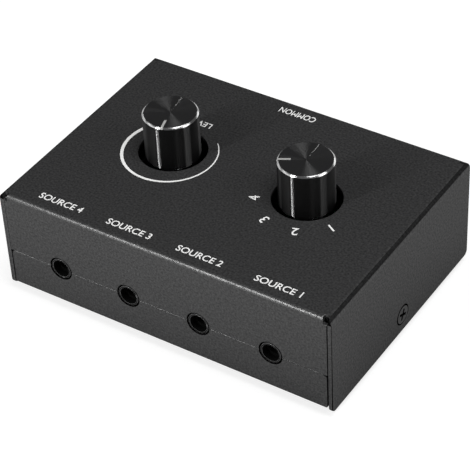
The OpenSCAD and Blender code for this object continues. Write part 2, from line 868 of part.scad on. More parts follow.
// Points round the wire at one place along a coil that runs along +X
function coil_ring(t, length, coil_r, sides) =
    let (a = 360 * coil_turns * t, centre = [length * t, coil_r * cos(a), coil_r * sin(a)])
    [for (i = [0 : sides - 1])
        let (b = 360 * i / sides)
        centre + coil_wire / 2 * [cos(b), sin(b) * cos(a), sin(b) * sin(a)]];

module coil(length, coil_r) {
    sides = 6;
    steps_a_turn = 8;
    steps = steps_a_turn * coil_turns;
    points = [for (s = [0 : steps]) each coil_ring(s / steps, length, coil_r, sides)];
    walls = [for (s = [0 : steps - 1], i = [0 : sides - 1])
        let (j = (i + 1) % sides, p = s * sides, q = p + sides)
        each [[p + i, q + i, p + j], [p + j, q + i, q + j]]];
    caps = [[for (i = [0 : sides - 1]) i], [for (i = [sides - 1 : -1 : 0]) steps * sides + i]];
    polyhedron(points, [each walls, each caps]);
}

module detent_springs() {
    start = pocket_in + set_gap + coil_wire / 2;
    end = ball_ring - ball_r - set_gap - coil_wire / 2;
    color("#aab0b5") on_board(SELECTOR)
        for (a = [0, 180])
            rotate(selector_angle + a) translate([start, 0, ball_z]) coil(end - start, ball_r - coil_wire);
}

module detent_balls() {
    color("#d5d8db") on_board(SELECTOR)
        for (a = [0, 180])
            rotate(selector_angle + a) translate([ball_ring, 0, ball_z]) sphere(ball_r);
}

module selector_shaft() {
    color("#c9ccd0") at_control(SELECTOR) control_shaft(switch_wall, switch_h, selector_angle);
}

module selector_clip() {
    color("#8f9296") at_control(SELECTOR) control_clip(switch_h, selector_angle);
}

// Knobs

module knob_outside() {
    r = knob_d / 2;
    translate([0, 0, knob_z]) rotate_extrude()
        polygon([[0, 0], [r - knob_foot, 0], [r, knob_foot], [r, knob_h - knob_edge],
                 [r - knob_edge, knob_h], [0, knob_h]]);
}

// The pointer's slot, open at the knob's rim
module pointer_slot(angle) {
    rotate(angle) translate([knob_d / 2 - pointer_len, -pointer_w / 2, knob_z + knob_h - pointer_depth])
        cube([pointer_len + over, pointer_w, pointer_depth + over]);
}

module knob_shell(angle) {
    difference() {
        knob_outside();
        translate([0, 0, knob_z - over]) cylinder(r = insert_d / 2 + set_gap, h = knob_h - knob_roof + over);
        pointer_slot(angle);
    }
}

// Bush with a bore that follows the shaft and its flat
module knob_insert(angle) {
    length = knob_h - knob_roof - insert_set;
    translate([0, 0, knob_z + insert_set]) difference() {
        cylinder(d = insert_d, h = length);
        translate([0, 0, -over]) difference() {
            cylinder(r = shaft_r + set_gap, h = length + 2 * over);
            rotate(angle) translate([-shaft_d - shaft_r + shaft_flat - set_gap, -shaft_d, 0])
                cube([shaft_d, 2 * shaft_d, length + 2 * over]);
        }
    }
}

module pointer(angle) {
    intersection() {
        knob_outside();
        pointer_slot(angle);
    }
}

module volume_insert() {
    color("#1a1a1a") at_control(VOLUME) knob_insert(volume_angle);
}

module volume_knob() {
    color("#111112") at_control(VOLUME) knob_shell(volume_angle);
}

module volume_pointer() {
    color("#d9d9d6") at_control(VOLUME) pointer(volume_angle);
}

module selector_insert() {
    color("#1a1a1a") at_control(SELECTOR) knob_insert(selector_angle);
}

module selector_knob() {
    color("#111112") at_control(SELECTOR) knob_shell(selector_angle);
}

module selector_pointer() {
    color("#d9d9d6") at_control(SELECTOR) pointer(selector_angle);
}

top_cover();
bottom_tray();
case_screws();
rubber_feet();
circuit_board();
board_standoffs();
board_screws();
jack_housing(1);  // jack_1
jack_housing(2);  // jack_2
jack_housing(3);  // jack_3
jack_housing(4);  // jack_4
jack_housing(COMMON);  // jack_common
jack_contacts(1);  // jack_1_contacts
jack_contacts(2);  // jack_2_contacts
jack_contacts(3);  // jack_3_contacts
jack_contacts(4);  // jack_4_contacts
jack_contacts(COMMON);  // jack_common_contacts
pot_body();
pot_plate();
pot_track();
pot_terminals();
pot_rotor();
pot_wiper();
volume_shaft();
volume_clip();
volume_insert();
volume_knob();
volume_pointer();
switch_body();
switch_plate();
switch_contacts();
switch_rotor();
switch_bridge();
detent_springs();
detent_balls();
selector_shaft();
selector_clip();
selector_insert();
selector_knob();
selector_pointer();
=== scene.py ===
"""Looks of an audio source selector: a black steel box with two turned knobs and five sockets."""

import json
import logging
import math
from dataclasses import dataclass, field, replace
from enum import Enum, IntEnum
from typing import Callable, Iterable, Sequence

import bmesh
import bpy
from mathutils import Matrix, Vector


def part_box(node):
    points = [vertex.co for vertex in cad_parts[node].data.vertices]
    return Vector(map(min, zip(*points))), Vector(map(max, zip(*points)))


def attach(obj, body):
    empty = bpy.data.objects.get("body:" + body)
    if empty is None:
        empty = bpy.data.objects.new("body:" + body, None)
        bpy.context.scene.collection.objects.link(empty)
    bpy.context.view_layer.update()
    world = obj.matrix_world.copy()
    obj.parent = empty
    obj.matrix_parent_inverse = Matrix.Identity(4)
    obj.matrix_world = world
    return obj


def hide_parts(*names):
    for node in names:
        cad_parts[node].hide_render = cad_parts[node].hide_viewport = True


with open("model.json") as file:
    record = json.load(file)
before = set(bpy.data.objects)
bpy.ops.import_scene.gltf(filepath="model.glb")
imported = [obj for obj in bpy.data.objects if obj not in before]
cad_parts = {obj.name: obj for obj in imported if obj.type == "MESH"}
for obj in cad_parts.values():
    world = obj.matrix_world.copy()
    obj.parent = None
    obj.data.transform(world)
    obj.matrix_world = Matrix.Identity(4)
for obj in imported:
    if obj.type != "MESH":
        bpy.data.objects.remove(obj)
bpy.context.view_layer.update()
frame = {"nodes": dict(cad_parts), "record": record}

log = logging.getLogger("source_selector")

MM = 0.001
FINE_OCTAVES = 3.0

Colour = tuple[float, float, float]
Point = tuple[float, float]
Range = tuple[float, float]
Plane = tuple[Vector, Vector]
Test = Callable[[Vector], bool]
Choice = Callable[[Vector], int]
Node = bpy.types.Node
NodeSocket = bpy.types.NodeSocket
Piece = bpy.types.Object


class Body(str, Enum):
    """The bodies of the frame that the pieces ride on."""

    CASE = "case"
    VOLUME = "volume_control"
    SELECTOR = "selector_control"


class Slot(str, Enum):
    """The record's material slots, one for each kind of new piece."""

    COAT = "case_coat"
    SCREW = "black_screw"
    RUBBER = "foot_rubber"
    SOCKET = "socket_moulding"
    KNOB = "knob_metal"
    PAINT = "pointer_paint"


class CoverCoat(IntEnum):
    """The cover's finishes, in the order of its material slots."""

    PLAIN = 0
    CUT = 1
    SHARP_BEND = 2
    SIDE_BEND = 3
    GAP = 4


class BaseCoat(IntEnum):
    """The base's finishes, in the order of its material slots."""

    PLAIN = 0
    SEAM = 1
    RIGHT_END = 2
    LEFT_END = 3
    CUT = 4


class KnobFace(IntEnum):
    """A knob's finishes, in the order of its material slots."""

    SIDE = 0
    TOP = 1
    EDGE = 2


class Shader:
    """One material's node tree, with short calls for the nodes that the finishes use."""

    def __init__(self, name: str) -> None:
        """Makes a material that holds one Principled shader.

        Args:
            name: Name of the material.
        """
        self.material = bpy.data.materials.new(name)
        self.material.use_nodes = True
        self.tree = self.material.node_tree
        self.surface = self.tree.nodes["Principled BSDF"]
        self.place = self.tree.nodes.new("ShaderNodeTexCoord").outputs["Object"]

    def set(self, **values: object) -> None:
        """Sets constant numbers on the shader's own sockets.

        Args:
            values: Socket names in lower case with _ for spaces, and their numbers.
        """
        sockets = {s.name.lower().replace(" ", "_"): s for s in self.surface.inputs}
        for name, value in values.items():
            sockets[name].default_value = value

    def node(self, kind: str, **values: object) -> Node:
        """Adds a node.

        Args:
            kind: Blender's name of the node type, without its ShaderNode prefix.
            values: Properties of the node, by name.

        Returns:
            The new node.
        """
        made = self.tree.nodes.new("ShaderNode" + kind)
        for name, value in values.items():
            setattr(made, name, value)
        return made

    def link(self, source: NodeSocket, target: NodeSocket) -> None:
        """Links one socket to another."""
        self.tree.links.new(source, target)

    def maths(self, operation: str, *values: NodeSocket | float) -> NodeSocket:
        """Adds a sum of numbers, which are sockets or constants, and gives its result."""
        return self._sum("Math", operation, values).outputs[0]

    def vectors(self, operation: str, *values: NodeSocket | Sequence[float]) -> Node:
        """Adds a sum of vectors, which are sockets or constants, and gives its node."""
        return self._sum("VectorMath", operation, values)

    def _sum(self, kind: str, operation: str, values: Iterable[object]) -> Node:
        """Adds a node that works something out.

        Args:
            kind: Type of the node.
            operation: Blender's name of the sum.
            values: The sum's inputs, as sockets or constants.

        Returns:
            The new node.
        """
        made = self.node(kind, operation=operation)
        for socket, value in zip(made.inputs, values):
            if isinstance(value, NodeSocket):
                self.link(value, socket)
            else:
                socket.default_value = value
        return made

    def noise(self, scale: float, detail: float = 2.0,
              place: NodeSocket | None = None) -> NodeSocket:
        """Adds a noise texture in the object's own metres.

        Args:
            scale: Waves to the metre.
            detail: Octaves of the noise.
            place: Coordinates, if not the object's own.

        Returns:
            The noise, from 0 to 1.
        """
        made = self.node("TexNoise")
        made.inputs["Scale"].default_value = scale
        made.inputs["Detail"].default_value = detail
        self.link(place or self.place, made.inputs["Vector"])
        return made.outputs["Fac"]

    def ranged(self, value: NodeSocket, low: float, high: float, start: float = 0.0,
               end: float = 1.0) -> NodeSocket:
        """Maps a value from one range to another.

        Args:
            value: The value to map.
            low: Result at the start of the range.
            high: Result at the end of the range.
            start: Start of the value's range.
            end: End of the value's range.

        Returns:
            The mapped value.
        """
        made = self.node("MapRange")
        ends = {"From Min": start, "From Max": end, "To Min": low, "To Max": high}
        for name, number in ends.items():
            made.inputs[name].default_value = number
        self.link(value, made.inputs["Value"])
        return made.outputs["Result"]

    def tinted(self, value: NodeSocket, dark: Colour, light: Colour) -> None:
        """Colours the surface between two shades.

        Args:
            value: Share of the light shade, from 0 to 1.
            dark: Colour at 0.
            light: Colour at 1.
        """
        made = self.node("Mix", data_type="RGBA")
        colours = [s for s in made.inputs if s.type == "RGBA"]
        colours[0].default_value = (*dark, 1.0)
        colours[1].default_value = (*light, 1.0)
        self.link(value, made.inputs["Factor"])
        shown = next(s for s in made.outputs if s.type == "RGBA")
        self.link(shown, self.surface.inputs["Base Color"])

    def bumped(self, height: NodeSocket, depth: float) -> NodeSocket:
        """Raises the surface by a height map.

        Args:
            height: Height from 0 to 1.
            depth: Depth of the relief in metres.

        Returns:
            The raised surface's normal.
        """
        made = self.node("Bump")
        made.inputs["Distance"].default_value = depth
        self.link(height, made.inputs["Height"])
        self.link(made.outputs["Normal"], self.surface.inputs["Normal"])
        return made.outputs["Normal"]

    def mirrored(self, share: float, roughness: float,
                 anisotropy: float = 0.0) -> tuple[Node, Node]:
        """Lays a mirror over what the surface shows so far.

        Args:
            share: Share of the light that is mirrored.
            roughness: Roughness of the mirror.
            anisotropy: Stretch of its highlights across the marks of a lathe.

        Returns:
            The mirror's node, and the node that mixes it with the rest.
        """
        mirror = self.node("BsdfAnisotropic", distribution="BECKMANN" if anisotropy else "GGX")
        mirror.inputs["Roughness"].default_value = roughness
        mirror.inputs["Anisotropy"].default_value = anisotropy
        end = self.tree.nodes["Material Output"].inputs["Surface"]
        both = self.node("MixShader")
        both.inputs["Fac"].default_value = share
        self.link(end.links[0].from_socket, both.inputs[1])
        self.link(mirror.outputs["BSDF"], both.inputs[2])
        self.link(both.outputs["Shader"], end)
        return mirror, both

    def split(self) -> Node:
        """Adds a node that splits the place in the object into its three parts.

        Returns:
            The new node.
        """
        parts = self.node("SeparateXYZ")
        self.link(self.place, parts.inputs[0])
        return parts

    def height(self) -> NodeSocket:
        """Gives coordinates that only change with the height."""
        return self.split().outputs["Z"]

    def flat(self) -> NodeSocket:
        """Gives the place in the object without its height."""
        return self.vectors("MULTIPLY", self.place, (1.0, 1.0, 0.0)).outputs["Vector"]

    def radius(self) -> NodeSocket:
        """Gives coordinates that only change with the distance from the object's upright axis."""
        return self.vectors("LENGTH", self.flat()).outputs["Value"]

    def leaning(self, outward: float, upward: float) -> NodeSocket:
        """Gives a direction that leans from the object's upright axis.

        Args:
            outward: Its part away from the axis.
            upward: Its part along the axis.

        Returns:
            The direction in the world.
        """
        away = self.vectors("NORMALIZE", self.flat()).outputs["Vector"]
        lean = self.vectors("MULTIPLY_ADD", away, (outward, outward, 0.0), (0.0, 0.0, upward))
        world = self.node("VectorTransform", vector_type="NORMAL",
                          convert_from="OBJECT", convert_to="WORLD")
        self.link(lean.outputs["Vector"], world.inputs["Vector"])
        return world.outputs["Vector"]


def shade(colour: Colour, factor: float) -> Colour:
    """Makes a colour lighter or darker by a factor."""
    return tuple(min(1.0, c * factor) for c in colour)


@dataclass(frozen=True)
class Finish:
    """What every finish has.

    Attributes:
        name: Name of the material.
        colour: Base colour.
        roughness: Roughness of the surface.
    """

    name: str
    colour: Colour
    roughness: float

    def material(self) -> bpy.types.Material:
        """Makes the material.

        Returns:
            The new material.
        """
        shader = Shader(self.name)
        shader.set(base_color=(*self.colour, 1.0), roughness=self.roughness)
        self.detail(shader)
        return shader.material

    def detail(self, shader: Shader) -> None:
        """Adds what this finish shows close up."""
        raise NotImplementedError

    def tint(self, shader: Shader, value: NodeSocket, shades: Range) -> None:
        """Lets the colour wander between two shares of its light, as a value goes from 0 to 1."""
        dark, light = (shade(self.colour, share) for share in shades)
        shader.tinted(value, dark, light)

    def roughen(self, shader: Shader, value: NodeSocket, spread: float) -> None:
        """Lets the roughness wander up and down by a spread, as a value goes from 0 to 1."""
        rough = shader.ranged(value, self.roughness - spread, self.roughness + spread)
        shader.link(rough, shader.surface.inputs["Roughness"])


@dataclass(frozen=True)
class PowderCoat(Finish):
    """Baked powder paint with a fine grain.

    Attributes:
        sheen: Least and most share of the light that the grain mirrors.
        grain: Grains to the metre.
        speckle: Range of the grain's noise from the darkest grain to the lightest.
        shades: Shares of the colour's light on those grains.
        swell: Waves of the relief to each grain.
        relief: Height of the relief in metres.
    """

    sheen: Range = (0.05, 0.086)
    grain: float = 1800.0
    speckle: Range = (0.3, 0.7)
    shades: Range = (0.55, 1.45)
    swell: float = 0.8
    relief: float = 0.05 * MM

    def detail(self, shader: Shader) -> None:
        """Adds the grain, its speckle and the sheen that wanders with it.

        Args:
            shader: The finish's shader.
        """
        shader.set(specular_ior_level=0.0)
        grain = shader.noise(self.grain, FINE_OCTAVES)
        self.tint(shader, shader.ranged(grain, 0.0, 1.0, *self.speckle), self.shades)
        raised = shader.bumped(shader.noise(self.grain * self.swell), self.relief)
        mirror, both = shader.mirrored(sum(self.sheen) / 2, self.roughness)
        shader.link(raised, mirror.inputs["Normal"])
        shader.link(shader.ranged(grain, *self.sheen, *self.speckle), both.inputs["Fac"])


@dataclass(frozen=True)
class Moulding(Finish):
    """Moulded plastic or rubber with a faint spark-eroded texture.

    Attributes:
        texture: Grains to the metre.
        relief: Height of the texture in metres.
        spread: Most change of the roughness along the texture.
        gloss: Share of a plastic's usual reflection.
        drift: Waves of the colour's drift to the metre.
        shades: Shares of the colour's light between which it drifts.
    """

    texture: float = 4000.0
    relief: float = 0.006 * MM
    spread: float = 0.06
    gloss: float = 0.5
    drift: float = 300.0
    shades: Range = (0.85, 1.15)

    def detail(self, shader: Shader) -> None:
        """Adds the mould's texture and a slight drift of the colour.

        Args:
            shader: The finish's shader.
        """
        shader.set(specular_ior_level=self.gloss)
        self.tint(shader, shader.noise(self.drift), self.shades)
        grain = shader.noise(self.texture)
        self.roughen(shader, grain, self.spread)
        shader.bumped(grain, self.relief)


@dataclass(frozen=True)
class PlatedMetal(Finish):
    """Rolled, plated or turned metal.

    Attributes:
        cloud: Clouds of the plating to the metre.
        relief: Height of the clouds in metres.
        spread: Most change of the roughness along the clouds.
        shades: Shares of the colour's light between which the clouds change it.
    """

    cloud: float = 1500.0
    relief: float = 0.004 * MM
    spread: float = 0.07
    shades: Range = (0.9, 1.08)

    def detail(self, shader: Shader) -> None:
        """Adds the metal's reflection with a cloudy plating.

        Args:
            shader: The finish's shader.
        """
        shader.set(metallic=1.0)
        cloud = shader.noise(self.cloud, FINE_OCTAVES)
        self.tint(shader, cloud, self.shades)
        self.roughen(shader, cloud, self.spread)
        shader.bumped(cloud, self.relief)


@dataclass(frozen=True)
class Laminate(Finish):
    """Circuit board with solder mask over a woven laminate.

    Attributes:
        weave: Threads to the metre.
        relief: Height of the threads in metres.
        shades: Shares of the colour's light between the threads and on them.
    """

    weave: float = 900.0
    relief: float = 0.005 * MM
    shades: Range = (0.88, 1.1)

    def detail(self, shader: Shader) -> None:
        """Adds the weave that shows through the mask.

        Args:
            shader: The finish's shader.
        """
        wave = shader.node("TexWave", wave_type="BANDS", bands_direction="DIAGONAL")
        wave.inputs["Scale"].default_value = self.weave
        shader.link(shader.place, wave.inputs["Vector"])
        self.tint(shader, wave.outputs["Fac"], self.shades)
        shader.bumped(wave.outputs["Fac"], self.relief)


@dataclass(frozen=True)
class Flank:
    """One side of the turning marks, which mirrors the light across them.

    Attributes:
        gloss: Share of the light that is mirrored.
        across: Spread of a highlight across the marks.
        round: Spread of a highlight along the marks, round the axis.
        lean: Outward and upward parts of the flank's direction, or nothing for the surface's own.
    """

    gloss: float
    across: float
    round: float
    lean: Point | None = None

    def lay(self, shader: Shader) -> Node:
        """Lays the flank's mirror over the surface.

        Args:
            shader: The shader.

        Returns:
            The node that mixes the mirror with the rest.
        """
        roughness = math.sqrt(math.sqrt(self.round * self.across))
        anisotropy = 1.0 - math.sqrt(self.round / self.across)
        mirror, both = shader.mirrored(self.gloss, roughness, anisotropy)
        tangent = shader.node("Tangent", direction_type="RADIAL", axis="Z")
        shader.link(tangent.outputs["Tangent"], mirror.inputs["Tangent"])
        if self.lean:
            shader.link(shader.leaning(*self.lean), mirror.inputs["Normal"])
        return both


@dataclass(frozen=True)
class TurnedBlack(Finish):
    """Black anodised metal as it comes off the lathe.

    Attributes:
        flanks: Sides of the turning marks.
        faced: Whether the marks are rings of a faced end, and not of a turned side.
        marks: Turning marks to the metre.
        shades: Shares of the colour's light between which the marks change it.
        gloss: Share of a plastic's usual reflection under the flanks.
    """

    flanks: tuple[Flank, ...] = ()
    faced: bool = False
    marks: float = 9000.0
    shades: Range = (0.7, 1.3)
    gloss: float = 0.1

    def detail(self, shader: Shader) -> None:
        """Adds the turning marks round the axis and the light that they stretch across them.

        Args:
            shader: The finish's shader.
        """
        shader.set(specular_ior_level=self.gloss)
        along = shader.radius() if self.faced else shader.height()
        self.tint(shader, shader.noise(self.marks, FINE_OCTAVES, along), self.shades)
        for flank in self.flanks:
            flank.lay(shader)


@dataclass(frozen=True)
class CutEdge(Finish):
    """Bare metal of an edge that is cut bright after the anodising.

    Attributes:
        bare: Mirror of the bare metal.
        chatter: Marks of the cutter to the metre.
        shades: Shares of the colour's light between which the marks change it.
        glints: Shares of the mirror's gloss between which the marks change it.
    """

    bare: Flank = Flank(gloss=0.55, across=0.07, round=0.05)
    chatter: float = 2500.0
    shades: Range = (0.8, 1.2)
    glints: Range = (0.94, 1.06)

    def detail(self, shader: Shader) -> None:
        """Adds the bare metal and the cutter's fine chatter.

        Args:
            shader: The finish's shader.
        """
        shader.set(specular_ior_level=0.0)
        marks = shader.noise(self.chatter)
        self.tint(shader, marks, self.shades)
        both = self.bare.lay(shader)
        glint = shader.ranged(marks, *(self.bare.gloss * share for share in self.glints))
        shader.link(glint, both.inputs["Fac"])


@dataclass(frozen=True)
class Ink(Finish):
    """Screen-printed ink or filled paint.

    Attributes:
        cover: Least share of the colour where the ink is thin.
        grain: Thin places to the metre.
        thin: Range of the grain's noise from the thinnest ink to the full colour.
        relief: Height of the grain in metres.
    """

    cover: float = 0.82
    grain: float = 3500.0
    thin: Range = (0.25, 0.6)
    relief: float = 0.004 * MM

    def detail(self, shader: Shader) -> None:
        """Adds the ink's uneven cover.

        Args:
            shader: The finish's shader.
        """
        grain = shader.noise(self.grain, FINE_OCTAVES)
        self.tint(shader, shader.ranged(grain, 0.0, 1.0, *self.thin), (self.cover, 1.0))
        shader.bumped(grain, self.relief)


COAT = PowderCoat("black_powder_coat", (0.03, 0.03, 0.0305), 0.36)
# Painted highlight: a copy of the coat with a larger mirror share, for the front and rear bends
# and the seam's left end.
HIGHLIGHT_COAT = replace(COAT, name="coat_on_sharp_bends", sheen=(0.07, 0.15))
# Painted shade: a copy of the coat with a smaller mirror share, which dims the seam's highlight.
DIMMED_SEAM_COAT = replace(COAT, name="coat_on_the_seam", sheen=(0.04, 0.085))
# Painted shade: a copy with a much smaller mirror share, which hides the seam's highlight at its
# right end.
DARKENED_SEAM_END_COAT = replace(COAT, name="coat_on_the_dim_seam", sheen=(0.02, 0.055))
# Painted light: a lighter coat on the left side's inner face beside the gap, where little light
# reaches.
LIT_GAP_COAT = PowderCoat("scraped_coat_in_the_gaps", (0.1, 0.1, 0.101), 0.5)
# Painted shade: a darker coat on the bends along the sides and in the rear reliefs.
SHADED_BEND_COAT = PowderCoat("coat_on_side_bends", (0.014, 0.014, 0.0143), 0.4, sheen=(0.01, 0.02))
# Painted shade: near black on the sides' front edges, the front corners, the socket holes and
# round and in the screws' recesses.
PAINTED_SHADE_COAT = PowderCoat("thin_coat_on_cut_edges", (0.003, 0.003, 0.003), 0.7,
                       sheen=(0.001, 0.002))
SCREW_BLACK = Moulding("blackened_screw", (0.014, 0.014, 0.0145), 0.5, gloss=0.3)
RUBBER = Moulding("foot_rubber", (0.018, 0.018, 0.018), 0.7, relief=0.02 * MM)
BOARD = Laminate("board_laminate", (0.02, 0.13, 0.055), 0.35)
STEEL = PlatedMetal("plated_steel", (0.55, 0.56, 0.57), 0.32)
SOCKET_BLACK = Moulding("socket_plastic", (0.05, 0.05, 0.051), 0.4, gloss=1.0)
# Painted shade: near black inside the sockets' bores.
SHADED_SOCKET_MOUTH = Moulding("socket_mouth", (0.002, 0.002, 0.002), 0.85, gloss=0.1)
BRASS = PlatedMetal("contact_brass", (0.7, 0.53, 0.25), 0.28)
BLACK_PLASTIC = Moulding("black_plastic", (0.018, 0.018, 0.02), 0.45)
PALE_PLASTIC = Moulding("pale_plastic", (0.66, 0.63, 0.55), 0.45)
CARBON = Moulding("carbon_track", (0.01, 0.01, 0.01), 0.55)
SHAFT = PlatedMetal("turned_shaft", (0.6, 0.61, 0.62), 0.3)
KNOB_SIDE = TurnedBlack("knob_side", (0.0015, 0.0015, 0.0016), 0.5, flanks=(
    Flank(gloss=0.034, across=0.2, round=0.006, lean=(1.0, 0.6)),
))
KNOB_TOP = TurnedBlack("knob_top", (0.0145, 0.0145, 0.0149), 0.5, faced=True, flanks=(
    Flank(gloss=0.065, across=0.42, round=0.04),
    Flank(gloss=0.006, across=0.12, round=0.004, lean=(-1.3, 1.0)),
))
KNOB_EDGE = CutEdge("knob_cut_edge", (0.12, 0.12, 0.122), 0.5)
PRINT_WHITE = Ink("white_print", (0.93, 0.93, 0.92), 0.5, cover=0.9)
POINTER_WHITE = Ink("pointer_paint", (0.42, 0.42, 0.41), 0.45)

SOCKET_NODES = ("jack_1", "jack_2", "jack_3", "jack_4", "jack_common")

INNER_FINISHES: dict[str, Finish] = {
    "board_laminate": BOARD,
    "plain_steel": STEEL,
    "contact_brass": BRASS,
    "black_moulding": BLACK_PLASTIC,
    "pale_moulding": PALE_PLASTIC,
    "carbon_track": CARBON,
    "shaft_metal": SHAFT,
}


class Materials:
    """Every finish's material, made once."""

    _made: dict[str, bpy.types.Material] = {}

    @classmethod
    def of(cls, finish: Finish) -> bpy.types.Material:
        """Gives a finish's material.

        Args:
            finish: The finish.

        Returns:
            Its material, which is made at the first call.
        """
        if finish.name not in cls._made:
            cls._made[finish.name] = finish.material()
        return cls._made[finish.name]


def middle_of(node: str) -> Vector:
    """Gives the middle of a node's box."""
    return sum(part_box(node), Vector()) / 2


def direction(turn_deg: float) -> Vector:
    """Gives a level direction by its turn from +X."""
    return Vector((math.cos(math.radians(turn_deg)), math.sin(math.radians(turn_deg))))


def add_object(name: str, edit: bmesh.types.BMesh, finishes: Sequence[Finish]) -> Piece:
    """Turns an edited mesh into an object of the scene.

    Args:
        name: Name of the object.
        edit: The mesh, which is freed.
        finishes: Finishes of its material slots, in order.

    Returns:
        The new object.
    """
    mesh = bpy.data.meshes.new(name)
    edit.to_mesh(mesh)
    edit.free()
    for finish in finishes:
        mesh.materials.append(Materials.of(finish))
    made = bpy.data.objects.new(name, mesh)
    bpy.context.scene.collection.objects.link(made)
    return made


def smooth(piece: Piece, sharp_deg: float = 50.0, flat_pull: int = 100) -> None:
    """Shades a piece smooth, with its flat faces kept flat.

    Args:
        piece: The piece.
        sharp_deg: Least angle between two faces that still shows as an edge.
        flat_pull: Pull of the large faces on the shading, of which 100 is the most.
    """
    piece.data.shade_smooth()
    piece.data.set_sharp_from_angle(angle=math.radians(sharp_deg))
    weighted = piece.modifiers.new("flat faces stay flat", "WEIGHTED_NORMAL")
    weighted.keep_sharp = True
    weighted.weight = flat_pull


def dress(piece: Piece, body: Body, slot: Slot, *nodes: str) -> None:
    """Ties a new piece to the frame.

    Args:
        piece: The piece.
        body: The body that it rides on.
        slot: The record's slot for its finish, which is not used.
        nodes: The frame's nodes that it stands for.
    """
    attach(piece, body.value)
    if nodes:
        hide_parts(*nodes)
    stands_for = f" for {', '.join(nodes)}" if nodes else ""
    log.info("%s rides on %s%s", piece.name, body.value, stands_for)


@dataclass(frozen=True)
class EdgeBreak:
    """The slight rounding of a piece's edges.

    Attributes:
        width: Width of the rounding in metres.
        steps: Faces across it.
        sharp_deg: Least angle between two faces whose edge is rounded.
        weld: Distance within which two corners of the solid are one.
        flat_deg: Most angle between two faces that are one flat face.
        profile: Shape of the rounding, of which 0.5 is an arc.
    """

    width: float
    steps: int = 2
    sharp_deg: float = 40.0
    weld: float = 0.0005 * MM
    flat_deg: float = 0.2
    profile: float = 0.5

    def copy(self, node: str, name: str, finishes: Sequence[Finish], spare: Test | None = None,
             pick: Choice | None = None, splits: Sequence[Plane] = ()) -> Piece:
        """Copies a node of the frame with its edges rounded.

        Args:
            node: The node to copy.
            name: Name of the new piece.
            finishes: Finishes of the new piece, of which most faces have the first.
            spare: Says of a point whether the edges there stay sharp.
            pick: Says of a point which finish the faces there have.
            splits: Planes, as a point and a direction, at which the faces are split so that the
                finish can change there.

        Returns:
            The new piece.
        """
        source = frame["nodes"][node].data
        edit = bmesh.new()
        corners = [edit.verts.new(v.co) for v in source.vertices]
        for face in source.polygons:
            edit.faces.new([corners[i] for i in face.vertices])
        bmesh.ops.remove_doubles(edit, verts=edit.verts[:], dist=self.weld)
        bmesh.ops.dissolve_limit(edit, angle_limit=math.radians(self.flat_deg),
                                 verts=edit.verts[:], edges=edit.edges[:])
        sharp = [e for e in edit.edges if self._rounds(e, spare)]
        bmesh.ops.bevel(edit, geom=sharp, offset=self.width, offset_type="OFFSET",
                        segments=self.steps, profile=self.profile, affect="EDGES",
                        clamp_overlap=False)
        for point, across in splits:
            everything = [*edit.verts, *edit.edges, *edit.faces]
            bmesh.ops.bisect_plane(edit, geom=everything, plane_co=point, plane_no=across)
        for face in edit.faces if pick else ():
            face.material_index = pick(face.calc_center_median())
        bmesh.ops.recalc_face_normals(edit, faces=edit.faces[:])
        made = add_object(name, edit, finishes)
        smooth(made)
        return made

    def _rounds(self, edge: bmesh.types.BMEdge, spare: Test | None) -> bool:
        """Says whether an edge of the copy is rounded.

        Args:
            edge: The edge.
            spare: Says of a point whether the edges there stay sharp.

        Returns:
            Whether it is sharp and isn't spared.
        """
        if not edge.is_manifold or edge.calc_face_angle() < math.radians(self.sharp_deg):
            return False
        return spare is None or not all(spare(v.co) for v in edge.verts)


